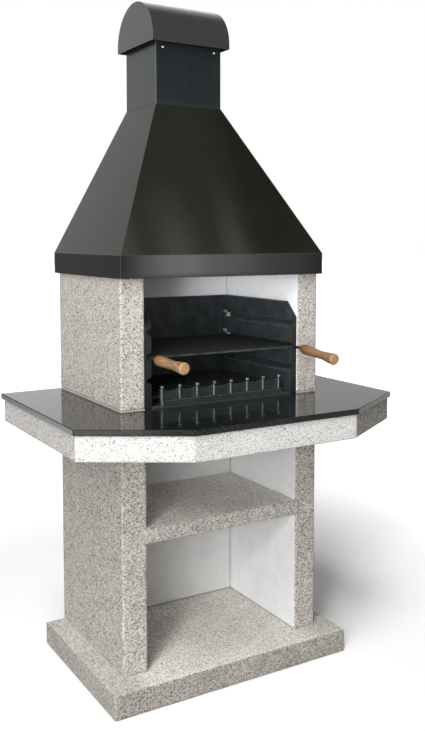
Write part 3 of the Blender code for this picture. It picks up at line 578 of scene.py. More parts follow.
@dataclass(frozen=True)
class Steel:
    """Drawn or plated steel with fine lines along one axis."""

    name: str
    colour: Colour
    tint: Colour
    roughness: float
    metallic: float = 0.9
    specular: float = 0.5
    lines: Point = (0.15, 1.0, 1.0)
    line: float = 0.8 * MM
    depth: float = 0.02 * MM
    heat_run: float = 28 * MM
    heat_step: Pair = (0.38, 0.68)

    def material(self) -> Material:
        """Finish the steel.

        Returns:
            The material.
        """
        recipe = Recipe(self.name)
        drawn = recipe.noise(recipe.place(self.lines), self.line, 2.0)
        heat = recipe.noise(recipe.place(), self.heat_run, 3.0).rise(*self.heat_step)
        colour = recipe.shade(recipe.blend(heat, self.colour, self.tint), 0.8 + 0.4 * drawn)
        recipe.relief(drawn, self.depth)
        recipe.surface(Base_Color=colour, Roughness=self.roughness + 0.15 * drawn)
        return recipe.surface(Metallic=self.metallic, Specular_IOR_Level=self.specular)


@dataclass(frozen=True)
class TurnedBeech:
    """Beech turned on a lathe, with growth rings, short dark flecks and darker ends."""

    name: str
    length: float
    wood: Colour = (0.345, 0.208, 0.104)
    late: Colour = (0.140, 0.072, 0.030)
    fleck: Colour = (0.060, 0.033, 0.017)
    root_darkening: Colour = (0.175, 0.078, 0.024)
    end_grain: Colour = (0.37, 0.235, 0.105)
    root: Pair = (0.08, 0.40)
    tip: Pair = (0.955, 0.975)
    ring: float = 14 * MM
    bend: Pair = (12 * MM, 5 * MM)
    fleck_size: float = 2.4 * MM
    fleck_step: Pair = (0.18, 0.34)
    fleck_choice: Pair = (0.55, 0.65)
    depth: float = 0.10 * MM

    def material(self) -> Material:
        """Turn and oil the wood.

        Returns:
            The material.
        """
        recipe = Recipe(self.name)
        along = recipe.along("Z")
        grain = recipe.jitter(recipe.place((1.0, 1.0, 0.10)), *self.bend)
        wave = {"wave_type": "BANDS", "bands_direction": "X"}
        sockets = {"Vector": grain, "Scale": 1.0 / self.ring, "Distortion": 3.0, "Detail": 2.0}
        rings = recipe.node("ShaderNodeTexWave", wave, sockets, "Fac")
        fleck_away, fleck_pick = recipe.cells(recipe.place((1.0, 1.0, 0.25)), self.fleck_size)
        flecks = (1.0 - fleck_away.rise(*self.fleck_step)) * fleck_pick.rise(*self.fleck_choice)
        colour = recipe.blend(rings * 0.75, self.wood, self.late)
        colour = recipe.blend(flecks * 0.75, colour, self.fleck)
        root = 1.0 - along.rise(*(share * self.length for share in self.root))
        tip = along.rise(*(share * self.length for share in self.tip))
        # Darker towards the root.
        colour = recipe.blend(root * 0.85, colour, self.root_darkening)
        colour = recipe.blend(tip * 0.7, colour, self.end_grain)
        recipe.relief(rings * 0.4 - flecks, self.depth)
        recipe.surface(Base_Color=colour, Roughness=0.50 + 0.15 * rings)
        return recipe.surface(Coat_Weight=0.06, Specular_IOR_Level=0.3)


class Palette:
    """Every finish of the barbecue but the wood, made once."""

    def __init__(self) -> None:
        """Mix all the materials."""
        self.upper_stone = StoneChips(
            "upper_stone_chips", (0.50, 0.465, 0.42), (0.63, 0.60, 0.555), (0.50, 0.465, 0.415),
            (0.34, 0.30, 0.255), (0.145, 0.13, 0.12), (0.44, 0.68, 0.85),
        ).material()
        self.lower_stone = StoneChips(
            "lower_stone_chips", (0.43, 0.40, 0.36), (0.62, 0.59, 0.55), (0.43, 0.395, 0.355),
            (0.29, 0.255, 0.22), (0.105, 0.095, 0.09), (0.36, 0.64, 0.82),
        ).material()
        self.floor_stone = StoneChips(
            "base_top_chips", (0.58, 0.555, 0.51), (0.74, 0.71, 0.66), (0.56, 0.53, 0.485),
            (0.42, 0.38, 0.335), (0.19, 0.175, 0.16), (0.44, 0.70, 0.86), painted_niche_light=0.34,
        ).material()
        self.kerb_stone = StoneChips(
            "base_side_chips", (0.32, 0.295, 0.265), (0.48, 0.45, 0.41), (0.32, 0.29, 0.26),
            (0.21, 0.185, 0.16), (0.08, 0.072, 0.066), (0.34, 0.62, 0.81),
        ).material()
        self.worktop_stone = StoneChips(
            "worktop_stone_chips", (0.655, 0.65, 0.625), (0.74, 0.735, 0.715), (0.60, 0.58, 0.545),
            (0.42, 0.385, 0.345), (0.15, 0.14, 0.135), (0.54, 0.81, 0.925), 3.0 * MM, 1.3 * MM,
        ).material()
        self.worktop_end = StoneChips(
            "worktop_end_chips", (0.53, 0.51, 0.485), (0.62, 0.60, 0.575), (0.47, 0.45, 0.42),
            (0.30, 0.27, 0.24), (0.10, 0.092, 0.085), (0.46, 0.74, 0.88), 3.2 * MM, 1.4 * MM,
        ).material()
        self.white_face = MouldedConcrete("white_moulded_face").material()
        # A darker copy of the white concrete for the lower back wall: painted shade.
        self.shaded_white_back = MouldedConcrete(
            "shaded_white_back_face", (0.605, 0.605, 0.60), (0.505, 0.505, 0.50)
        ).material()
        # A lighter copy of the white concrete for the chamber under the hood: painted light.
        self.lit_white_chamber = MouldedConcrete(
            "lit_white_chamber_face", (0.92, 0.925, 0.945), (0.80, 0.81, 0.835)
        ).material()
        self.mortar = Mortar("struck_mortar", (0.50, 0.475, 0.44)).material()
        # A lighter copy of the mortar for the upper joints: painted light against the shade in
        # their recess.
        self.lit_mortar = Mortar("lit_struck_mortar", (0.60, 0.57, 0.53)).material()
        self.polished_granite = Granite(
            "polished_granite", (0.032, 0.038, 0.036), (0.13, 0.14, 0.13), 0.05
        ).material()
        self.granite_edge = Granite(
            "granite_edge", (0.022, 0.027, 0.026), (0.13, 0.14, 0.14), 0.12, 0.12
        ).material()
        self.granite_side = Granite(
            "granite_sawn_side", (0.18, 0.195, 0.215), (0.34, 0.36, 0.38), 0.35, 0.3,
            ground=(0.10, 0.11, 0.125),
        ).material()
        self.iron = CastIron(
            "firebox_cast_iron", (0.026, 0.034, 0.037), (0.042, 0.053, 0.057), (0.20, 0.215, 0.215)
        ).material()
        self.guard_iron = CastIron(
            "guard_cast_iron", (0.010, 0.013, 0.014), (0.019, 0.024, 0.026), (0.30, 0.31, 0.31)
        ).material()
        self.hearth_iron = CastIron(
            "hearth_cast_iron", (0.012, 0.015, 0.016), (0.022, 0.027, 0.029)
        ).material()
        self.fireback_iron = CastIron(
            "fireback_cast_iron", (0.012, 0.016, 0.018), (0.026, 0.033, 0.036)
        ).material()
        self.sooty_iron = CastIron(
            "sooty_cast_iron", (0.0035, 0.0050, 0.0050), (0.007, 0.009, 0.0095), (0.08, 0.09, 0.09)
        ).material()
        self.hood = CoatedSheet(
            "hood_coating", (0.0105, 0.0110, 0.0075), (0.060, 0.060, 0.054), specular=0.16,
            sheen_bands=((-0.36, 0.10, 0.47), (-0.175, 0.115, 0.46), (0.036, 0.075, 0.40)),
        ).material()
        self.hood_rim = CoatedSheet(
            "hood_rim_coating", (0.0100, 0.0105, 0.0085), (0.060, 0.060, 0.054), 0.16, 0.30
        ).material()
        self.duct = CoatedSheet(
            "duct_coating", (0.0150, 0.0190, 0.0205), (0.085, 0.088, 0.085), specular=0.40
        ).material()
        # The cap's coat is lighter than the hood's: painted light from above.
        self.cap = CoatedSheet(
            "lit_cap_coating", (0.040, 0.040, 0.039), (0.11, 0.11, 0.105), specular=0.42
        ).material()
        self.frame_paint = CoatedSheet(
            "frame_paint", (0.020, 0.020, 0.021), (0.075, 0.070, 0.065), 0.5
        ).material()
        # Near-black steel for the frame rod, bars and bearers.
        self.rod = Steel(
            "near_black_rod", (0.010, 0.011, 0.013), (0.007, 0.007, 0.008), 0.45, 0.0, 0.25
        ).material()
        # The front rail is paler than the rods for its highlight line: a painted highlight, with
        # some real reflection from its metal.
        self.rail = Steel(
            "highlight_rail", (0.075, 0.08, 0.08), (0.03, 0.033, 0.033), 0.38, 0.6
        ).material()
        self.ferrule = Steel(
            "ferrule_steel", (0.050, 0.048, 0.040), (0.026, 0.024, 0.019), 0.42, 0.6,
            lines=(1.0, 1.0, 6.0),
        ).material()
        self.screw = Steel("bright_zinc", (0.72, 0.72, 0.70), (0.58, 0.59, 0.60), 0.24).material()


def node_shape(node: str) -> Shape:
    """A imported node's solid with its flat faces made whole again.

    Args:
        node: The node's name.

    Returns:
        The shape, in the frame's coordinates.
    """
    shape = bmesh.new()
    shape.from_mesh(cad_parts[node].data)
    bmesh.ops.remove_doubles(shape, verts=shape.verts, dist=WELD)
    bmesh.ops.dissolve_limit(shape, angle_limit=FLAT_ANGLE, verts=shape.verts, edges=shape.edges)
    return shape


def mesh_of(shape: Shape, name: str) -> bpy.types.Mesh:
    """Turn a shape into mesh data.

    Args:
        shape: The shape, which is freed.
        name: The data's name.

    Returns:
        The data.
    """
    data = bpy.data.meshes.new(name)
    shape.to_mesh(data)
    shape.free()
    return data


def stand(name: str, data: bpy.types.ID) -> bpy.types.Object:
    """Put an object into the scene.

    Args:
        name: Its name.
        data: Its mesh, curve, lamp or camera.

    Returns:
        The object.
    """
    thing = bpy.data.objects.new(name, data)
    bpy.context.scene.collection.objects.link(thing)
    return thing


def face_mark(shape: Shape, name: str) -> bmesh.types.BMLayerItem:
    """The layer of numbers that a shape's faces carry under a name."""
    layers = shape.faces.layers.float
    return layers.get(name) or layers.new(name)


def sharp_edges(shape: Shape, convex_only: bool = True) -> list[bmesh.types.BMEdge]:
    """The edges that turn by more than the sharp angle.

    Args:
        shape: The shape.
        convex_only: Leave out the edges of inner corners.

    Returns:
        The edges.
    """
    found = []
    for edge in shape.edges:
        if len(edge.link_faces) == 2:
            turn = edge.calc_face_angle_signed(0.0)
            if turn > SHARP_ANGLE or (turn < -SHARP_ANGLE and not convex_only):
                found.append(edge)
    return found


def ease_edges(shape: Shape, width: float, segments: int = 2, convex_only: bool = True) -> None:
    """Round the sharp edges and mark the narrow new faces, where the finishes paint edge abrasion,
    edge highlights and corner shade.

    Args:
        shape: The shape, changed in place.
        width: How far the rounding reaches from the edge.
        segments: How many faces go round the edge.
        convex_only: Leave the inner corners sharp.
    """
    eased_edge = face_mark(shape, "eased_edge")
    shape.normal_update()
    made = bmesh.ops.bevel(
        shape,
        geom=sharp_edges(shape, convex_only),
        offset=width,
        segments=segments,
        profile=0.5,
        affect="EDGES",
        clamp_overlap=True,
    )
    for face in made["faces"]:
        face[eased_edge] = 1.0


def eased(node: str, width: float, segments: int = 2) -> Shape:
    """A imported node's solid with rounded edges.

    Args:
        node: The node's name.
        width: How far the rounding reaches from an edge.
        segments: How many faces go round it.

    Returns:
        The shape.
    """
    shape = node_shape(node)
    ease_edges(shape, width, segments)
    return shape


def shine_mark(shape: Shape, mark_level: float, side: Vector | None = None, mark: str = "eased_edge") -> None:
    """Set a mark on a shape's faces, all over or on one side only; the guard's ribs get a painted
    highlight this way.

    Args:
        shape: The shape, changed in place.
        mark_level: The mark's value, from 0 to 1.
        side: The direction that a face must look in to be worn, if not all are.
        mark: The name of the mark.
    """
    layer = face_mark(shape, mark)
    shape.normal_update()
    for face in shape.faces:
        face[layer] = mark_level if side is None or face.normal.dot(side) > PARTLY else 0.0


def slice_shape(shape: Shape, cell: float) -> None:
    """Cut a shape along a regular grid of planes, so that its surface can be worked.

    Args:
        shape: The shape, changed in place.
        cell: The distance between the planes.
    """
    for axis in range(3):
        values = [vert.co[axis] for vert in shape.verts]
        low, high = min(values), max(values)
        count = max(1, round((high - low) / cell))
        normal = Vector([float(axis == index) for index in range(3)])
        for step in range(1, count):
            place = normal * (low + (high - low) * step / count)
            geometry = shape.verts[:] + shape.edges[:] + shape.faces[:]
            bmesh.ops.bisect_plane(shape, geom=geometry, plane_co=place, plane_no=normal, dist=WELD)


def joined(shapes: Iterable[Shape]) -> Shape:
    """Several shapes as one.

    Args:
        shapes: The shapes, which are freed.

    Returns:
        The joined shape.
    """
    whole = bmesh.new()
    for shape in shapes:
        data = mesh_of(shape, "part_of_shape")
        whole.from_mesh(data)
        bpy.data.meshes.remove(data)
    return whole


def lathe(profile: Sequence[Pair], sides: int, looped: bool = False) -> Shape:
    """Turn a profile about Z.

    Args:
        profile: The (radius, height) points. An end at radius zero closes the shape.
        sides: How many faces go round.
        looped: Join the profile's last point to its first.

    Returns:
        The turned shape.
    """
    shape = bmesh.new()
    turns = [2 * math.pi * side / sides for side in range(sides)]
    rings = []
    for radius, height in profile:
        if radius < WELD:
            rings.append([shape.verts.new((0.0, 0.0, height))] * sides)
            continue
        ring = [(radius * math.cos(turn), radius * math.sin(turn), height) for turn in turns]
        rings.append([shape.verts.new(point) for point in ring])
    pairs = list(zip(rings, rings[1:]))
    if looped:
        pairs.append((rings[-1], rings[0]))
    for first, second in pairs:
        for side in range(sides):
            following = (side + 1) % sides
            corners = [first[side], first[following], second[following], second[side]]
            shape.faces.new(list(dict.fromkeys(corners)))
    bmesh.ops.recalc_face_normals(shape, faces=shape.faces)
    return shape


def plate(outline: Sequence[Pair], thickness: float, x: float = 0.0) -> Shape:
    """A flat plate that stands in the YZ plane.

    Args:
        outline: Its corners as (y, z) points, in order.
        thickness: How thick it is.
        x: Where its middle lies.

    Returns:
        The plate.
    """
    shape = bmesh.new()
    face = shape.faces.new([shape.verts.new((y, z, -thickness / 2)) for y, z in outline])
    pushed = bmesh.ops.extrude_face_region(shape, geom=[face])
    top = [item for item in pushed["geom"] if isinstance(item, bmesh.types.BMVert)]
    bmesh.ops.translate(shape, verts=top, vec=(0.0, 0.0, thickness))
    bmesh.ops.recalc_face_normals(shape, faces=shape.faces)
    view = Matrix.Translation((x, 0.0, 0.0)) @ SIDE_VIEW
    bmesh.ops.transform(shape, matrix=view, verts=shape.verts)
    return shape


def arc(middle: Pair, radius: float, start: float, end: float, steps: int) -> list[Pair]:
    """Points about a middle, from a start angle to an end angle in equal steps."""
    turns = [start + (end - start) * step / steps for step in range(steps + 1)]
    return [(middle[0] + radius * math.cos(t), middle[1] + radius * math.sin(t)) for t in turns]


def rod(start: Sequence[float], end: Sequence[float], radius: float, sides: int = 12) -> Shape:
    """A straight round rod.

    Args:
        start: The middle of one end.
        end: The middle of the other end.
        radius: Its radius.
        sides: How many faces go round.

    Returns:
        The rod.
    """
    along = Vector(end) - Vector(start)
    turn = along.to_track_quat("Z", "Y").to_matrix().to_4x4()
    shape = bmesh.new()
    bmesh.ops.create_cone(
        shape,
        cap_ends=True,
        segments=sides,
        radius1=radius,
        radius2=radius,
        depth=along.length,
        matrix=Matrix.Translation((Vector(start) + Vector(end)) / 2) @ turn,
    )
    return shape


@dataclass
class Bench:
    """Where pieces get their finish, take a node's place and go to their body."""

    palette: Palette
    made: list[str] = field(default_factory=list)

    def show(
        self,
        node: str,
        shape: Shape,
        finishes: Sequence[Material],
        slot: Slot,
        body: Body = Body.MASONRY,
        place: Matrix | None = None,
        sheet: float = 0.0,
    ) -> None:
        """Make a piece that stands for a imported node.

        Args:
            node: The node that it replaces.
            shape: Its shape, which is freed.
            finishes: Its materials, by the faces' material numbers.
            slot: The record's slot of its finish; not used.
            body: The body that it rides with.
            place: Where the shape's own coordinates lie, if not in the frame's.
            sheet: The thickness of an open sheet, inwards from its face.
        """
        data = mesh_of(shape, node + "_finished")
        for finish in finishes:
            data.materials.append(finish)
        data.shade_smooth()
        data.set_sharp_from_angle(angle=SMOOTH_ANGLE)
        piece = stand(node + "_finished", data)
        if place is not None:
            piece.matrix_world = place
        if sheet:
            solid = piece.modifiers.new("sheet", "SOLIDIFY")
            solid.thickness = sheet
            solid.offset = -1.0
            solid.use_even_offset = True
        weighted = piece.modifiers.new("flat_faces", "WEIGHTED_NORMAL")
        weighted.keep_sharp = True
        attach(piece, body.value)
        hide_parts(node)
        self.made.append(piece.name)
        LOG.info("%s rides with %s, %d faces", piece.name, body.value, len(data.polygons))


@dataclass
class Assembly:
    """A sub-assembly, whose pieces are finished on the bench."""

    bench: Bench

    @property
    def palette(self) -> Palette:
        """The bench's finishes."""
        return self.bench.palette


@dataclass
class Masonry(Assembly):
    """The cast blocks: plinth, walls, shelf and the worktop's casting."""

    cell: float = 9 * MM
    pitting: float = 0.22 * MM
    chipping: float = 0.8 * MM
    rough_chipping: float = 2.6 * MM
    arris: float = 2.2 * MM
    raking: float = 0.6 * MM
    chip_run: float = 11 * MM
    pit_share: float = 0.6
    sound: float = 0.12
    corner: float = 1.02
    panel_cells: int = 3
    panel_wave_cells: int = 8
    panel_wave: float = 0.25

    def weather(self, shape: Shape, smooth_side: Vector | None, chipping: float) -> None:
        """Pit the washed faces and break small chips out of the edges.

        Args:
            shape: The block, changed in place.
            smooth_side: The direction of a face that gets the second finish, if it has one.
            chipping: How deep the largest chips are.
        """
        slice_shape(shape, self.cell)
        shape.normal_update()
        moves = []
        for vert in shape.verts:
            if smooth_side is not None and vert.normal.dot(smooth_side) > SQUARELY:
                continue
            pit = noise.noise(vert.co / (self.chip_run * self.pit_share)) * 0.5 + 0.5
            depth = self.pitting * pit
            if vert.calc_shell_factor() > self.corner:
                depth += chipping * max(0.0, noise.noise(vert.co / self.chip_run) - self.sound)
            moves.append((vert, vert.normal * -depth))
        for vert, move in moves:
            vert.co += move
        for face in shape.faces:
            smooth = smooth_side is not None and face.normal.dot(smooth_side) > SQUARELY
            face.material_index = int(smooth)

    def block(
        self,
        node: str,
        finishes: Sequence[Material],
        smooth_side: Vector,
        chipping: float | None = None,
    ) -> None:
        """Make one block of stone-chip concrete.

        Args:
            node: The node that it stands for.
            finishes: Its stone, and the finish of its smooth side.
            smooth_side: The direction of that side.
            chipping: How deep the largest chips are, if not as usual.
        """
        shape = node_shape(node)
        self.weather(shape, smooth_side, self.chipping if chipping is None else chipping)
        self.bench.show(node, shape, finishes, Slot.STONE)

    def worktop(self) -> None:
        """Make the worktop's casting, its ends greyer than its front, its right corner cut in
        painted shade.
        """
        shape = node_shape("worktop_casting")
        self.weather(shape, None, self.chipping)
        for face in shape.faces:
            across = face.normal.x
            # Faces turned to the right take the dark base-side stone: painted shade.
            face.material_index = 1 if abs(across) > SQUARELY else 2 if across > PARTLY else 0
        palette = self.palette
        finishes = [palette.worktop_stone, palette.worktop_end, palette.kerb_stone]
        self.bench.show("worktop_casting", shape, finishes, Slot.WORKTOP)

    def moulded_panel(self, node: str, finish: Material) -> None:
        """Make one smooth back wall, very slightly uneven, its arrises broken.

        Args:
            node: The node that it stands for.
            finish: Its white face.
        """
        shape = eased(node, self.arris, 1)
        slice_shape(shape, self.cell * self.panel_cells)
        shape.normal_update()
        run = self.cell * self.panel_wave_cells
        for vert in shape.verts:
            wave = noise.noise(vert.co / run) * self.panel_wave + self.panel_wave
            vert.co -= vert.normal * self.pitting * wave
        self.bench.show(node, shape, [finish], Slot.WHITE)

    def joint(self, node: str) -> None:
        """Fill one mortar joint, almost flush with the wall that it carries or joins.

        Args:
            node: The node that it stands for.
        """
        low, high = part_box(node.rsplit("_", 2)[0] + "_wall")
        foot, head = (corner.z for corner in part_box(node))
        middle = Vector(((low.x + high.x) / 2, (low.y + high.y) / 2, (foot + head) / 2))
        rake = 2 * self.raking
        size = (high.x - low.x - rake, high.y - low.y - rake, head - foot, 1.0)
        shape = bmesh.new()
        place = Matrix.Translation(middle) @ Matrix.Diagonal(size)
        bmesh.ops.create_cube(shape, size=1.0, matrix=place)
        self.weather(shape, None, self.chipping)
        upper = node.startswith("upper")
        # Upper joints take the lighter mortar: painted light.
        finish = self.palette.lit_mortar if upper else self.palette.mortar
        self.bench.show(node, shape, [finish], Slot.MORTAR)

    def build(self) -> None:
        """Make all the blocks and their joints."""
        palette = self.palette
        up = Vector((0.0, 0.0, 1.0))
        self.block("base_slab", [palette.kerb_stone, palette.floor_stone], up)
        lower = [palette.lower_stone, palette.white_face]
        upper = [palette.upper_stone, palette.lit_white_chamber]
        for side, name in ((-1.0, "left"), (1.0, "right")):
            inwards = Vector((-side, 0.0, 0.0))
            self.block("lower_%s_wall" % name, lower, inwards)
            self.block("upper_%s_wall" % name, upper, inwards)
        # The shelf's top takes the lighter base-top stone: painted light for a top that lies in the
        # worktop's shade.
        shelf = [palette.lower_stone, palette.floor_stone]
        self.block("storage_shelf", shelf, up, self.rough_chipping)
        self.worktop()
        self.moulded_panel("lower_back_wall", palette.shaded_white_back)
        self.moulded_panel("upper_back_wall", palette.lit_white_chamber)
        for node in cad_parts:
            if node.endswith("_mortar"):
                self.joint(node)


@dataclass
class GraniteTop(Assembly):
    """The polished slab, its edges honed and their corners eased."""

    easing: float = 0.5 * MM

    def build(self) -> None:
        """Make the slab, its sawn ends greyer than its honed front."""
        shape = eased("granite_top", self.easing)
        shape.normal_update()
        for face in shape.faces:
            sawn = abs(face.normal.x) > SQUARELY
            face.material_index = 2 if sawn else int(abs(face.normal.z) < SQUARELY)
        palette = self.palette
        finishes = [palette.polished_granite, palette.granite_edge, palette.granite_side]
        self.bench.show("granite_top", shape, finishes, Slot.GRANITE)


@dataclass
class Firebox(Assembly):
    """The grooved side panels, the fireback, the hearth plate and the charcoal grate."""

    easing: float = 1.6 * MM
    border: float = 20 * MM
    cell: float = 14 * MM
    glint_reach: float = 24 * MM
    glint_rows: Pair = (1.066, 1.137)
    glint_half: float = 13 * MM
    lip_easing: float = 1.8 * MM
    lip_turn: float = 0.1
    lip_shine: float = 0.3

    def casting(self, node: str, finish: Material, body: Body = Body.MASONRY) -> None:
        """Make one plain casting, its edges rounded half as much as the panels'."""
        self.bench.show(node, eased(node, self.easing / 2), [finish], Slot.IRON, body)

    def grooved_panel(self, node: str, side: float) -> None:
        """Make a side panel, its groove edges paler with a painted highlight, and a painted glint
        at the back end of two grooves.

        Args:
            node: The node that it stands for.
            side: -1 for the left panel, 1 for the right.
        """
        shape = eased(node, self.easing)
        slice_shape(shape, self.cell)
        low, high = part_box(node)
        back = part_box("fireback")[0].y
        eased_edge = face_mark(shape, "eased_edge")
        painted_glint = face_mark(shape, "painted_glint")
        for face in shape.faces:
            middle = face.calc_center_median()
            if middle.y < low.y + self.border or middle.z > high.z - self.border:
                face[eased_edge] = 0.0
            # Faces near the fireback in two grooves take a painted glint.
            by_fireback = back - self.glint_reach < middle.y < back
            level = any(abs(middle.z - row) < self.glint_half for row in self.glint_rows)
            face[painted_glint] = float(by_fireback and level and face.normal.x * side < PARTLY)
            face.material_index = int(face.normal.y < -LARGELY)
        finishes = [self.palette.iron, self.palette.sooty_iron]
        self.bench.show(node, shape, finishes, Slot.IRON)

    def hearth(self) -> None:
        """Make the hearth plate, with a painted highlight along its lip's lower front edge."""
        shape = eased("hearth_plate", self.lip_easing)
        painted_glint = face_mark(shape, "painted_glint")
        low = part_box("hearth_plate")[0]
        shape.normal_update()
        for face in shape.faces:
            middle = face.calc_center_median()
            foot = middle.z < low.z + self.lip_easing and face.normal.y < -self.lip_turn
            # A painted highlight on the lip's lower front edge.
            face[painted_glint] = self.lip_shine * float(foot and middle.y < low.y + self.lip_easing)
        self.bench.show("hearth_plate", shape, [self.palette.hearth_iron], Slot.IRON)

    def build(self) -> None:
        """Make all the castings but the ember guard."""
        for name, side in (("left", -1.0), ("right", 1.0)):
            self.grooved_panel("firebox_%s_panel" % name, side)
        self.casting("fireback", self.palette.fireback_iron)
        self.hearth()
        self.casting("charcoal_grate", self.palette.hearth_iron, Body.GRATE)


@dataclass
class EmberGuard(Assembly):
    """The lift-out guard: a plate with U-shaped pockets between eight hooked ribs."""

    ribs: int = 8
    pitch: float = 62.4 * MM
    rib_width: float = 6 * MM
    plate_thickness: float = 6 * MM
    plate_height: float = 48 * MM
    scallop: float = 6 * MM
    end: float = 1.5 * MM
    pocket_depth: float = 1.3 * MM
    pocket_margin: float = 7 * MM
    pocket_foot: float = 9 * MM
    pocket_round: float = 17 * MM
    pocket_slope: float = 3 * MM
    foot_place: float = 150 * MM
    foot_width: float = 12 * MM
    foot_height: float = 14 * MM
    reach: float = 9 * MM
    hook: float = 4 * MM
    head: float = 5.5 * MM
    head_width: float = 10 * MM
    head_sides: int = 20
    head_segments: int = 3
    head_easing: float = 1.4
    easing: float = 1.4 * MM
    rib_shine: float = 0.30
    head_shine: float = 0.20
    across: int = 232
    upright: int = 26

    def __post_init__(self) -> None:
        """Read the guard's place off its node."""
        low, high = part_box("ember_guard")
        self.foot = low.z
        self.top = high.z
        self.heel = high.y
        self.back = low.y + self.reach + self.head
        self.middle = self.back - self.plate_thickness / 2
        self.half = (self.ribs - 1) / 2 * self.pitch + self.rib_width / 2 + self.end

    def rib_places(self) -> list[float]:
        """The x of each rib's middle."""
        return [(index - (self.ribs - 1) / 2) * self.pitch for index in range(self.ribs)]

    def pocket(self, x: float, z: float) -> float:
        """How deep the plate's face lies at a point, in U-shaped pockets with round bottoms.

        Args:
            x: The point's x.
            z: Its height above the guard's foot.

        Returns:
            The depth, in metres.
        """
        first = self.rib_places()[0]
        offset = (x - first) % self.pitch - self.pitch / 2
        if x < first or x > -first:
            return 0.0
        half = self.pitch / 2 - self.pocket_margin
        centre = self.pocket_foot + self.pocket_round
        across = max(0.0, abs(offset) - (half - self.pocket_round))
        down = max(0.0, centre - z)
        inside = self.pocket_round - math.hypot(across, down)
        share = min(1.0, max(0.0, inside / self.pocket_slope))
        return self.pocket_depth * share * share * (3.0 - 2.0 * share)

    def top_edge(self, x: float) -> float:
        """The height of the plate's scalloped top.

        Args:
            x: Where along the plate.

        Returns:
            The height above the guard's foot.
        """
        first = self.rib_places()[0]
        if x <= first or x >= -first:
            return self.plate_height
        offset = (x - first) % self.pitch - self.pitch / 2
        dip = (self.pitch - 2 * self.rib_width) / 2
        share = min(1.0, abs(offset) / dip)
        return self.plate_height - self.scallop * math.sqrt(1.0 - share * share)

    def face_plate(self) -> Shape:
        """The plate, its front face sunk by the pockets.

        Returns:
            The plate's shape.
        """
        shape = bmesh.new()
        front = self.back - self.plate_thickness
        sheets = []
        for level in (0, 1):
            rows = []
            for step in range(self.upright + 1):
                row = []
                for column in range(self.across + 1):
                    x = -self.half + 2 * self.half * column / self.across
                    z = self.top_edge(x) * step / self.upright
                    y = self.back if level else front + self.pocket(x, z)
                    row.append(shape.verts.new((x, y, self.foot + z)))
                rows.append(row)
            sheets.append(rows)
        fronts, backs = sheets
        strips = [pair for rows in sheets for pair in zip(rows, rows[1:])]
        strips += [(fronts[0], backs[0]), (fronts[-1], backs[-1])]
        strips += [([row[end] for row in fronts], [row[end] for row in backs]) for end in (0, -1)]
        for one, other in strips:
            for index in range(len(one) - 1):
                shape.faces.new((one[index], one[index + 1], other[index + 1], other[index]))
        bmesh.ops.recalc_face_normals(shape, faces=shape.faces)
        ease_edges(shape, self.easing / 2)
        shine_mark(shape, 0.0)
        shine_mark(shape, 0.0, mark="painted_glint")
        return shape

    def rib(self, x: float) -> Shape:
        """One hooked rib with its round head.

        Args:
            x: The rib's middle.

        Returns:
            The rib's shape.
        """
        y, z = middle = (self.back - self.reach, self.top - self.head)
        crown = z + self.hook
        nose = arc(middle, self.hook, math.pi / 2, 3 * math.pi / 2, 8)
        spine = [(self.middle, self.foot), (self.middle, crown)]
        outline = [*spine, *nose, (y, crown - 3 * self.hook), (y, self.foot)]
        upright = plate(outline, self.rib_width, x)
        ease_edges(upright, self.easing)
        half = self.head_width / 2
        knob = rod((x - half, y, z), (x + half, y, z), self.head, self.head_sides)
        ease_edges(knob, self.easing * self.head_easing, self.head_segments)
        forwards = Vector((0.0, -1.0, 0.0))
        # The front faces of the ribs and heads take a painted highlight.
        shine_mark(upright, self.rib_shine, forwards, "painted_glint")
        shine_mark(knob, self.head_shine, forwards, "painted_glint")
        return joined([upright, knob])

    def heel_foot(self, x: float) -> Shape:
        """One foot that runs back from the plate.

        Args:
            x: The foot's middle.

        Returns:
            The foot's shape.
        """
        front, back, low, high = self.middle, self.heel, self.foot, self.foot + self.foot_height
        outline = [(front, low), (back, low), (back, high), (front, high)]
        shape = plate(outline, self.foot_width, x)
        ease_edges(shape, self.easing)
        return shape

    def build(self) -> None:
        """Make the guard."""
        shapes = [self.face_plate()]
        shapes += [self.heel_foot(side * self.foot_place) for side in (-1.0, 1.0)]
        shapes += [self.rib(x) for x in self.rib_places()]
        finishes = [self.palette.guard_iron]
        self.bench.show("ember_guard", joined(shapes), finishes, Slot.IRON, Body.GUARD)


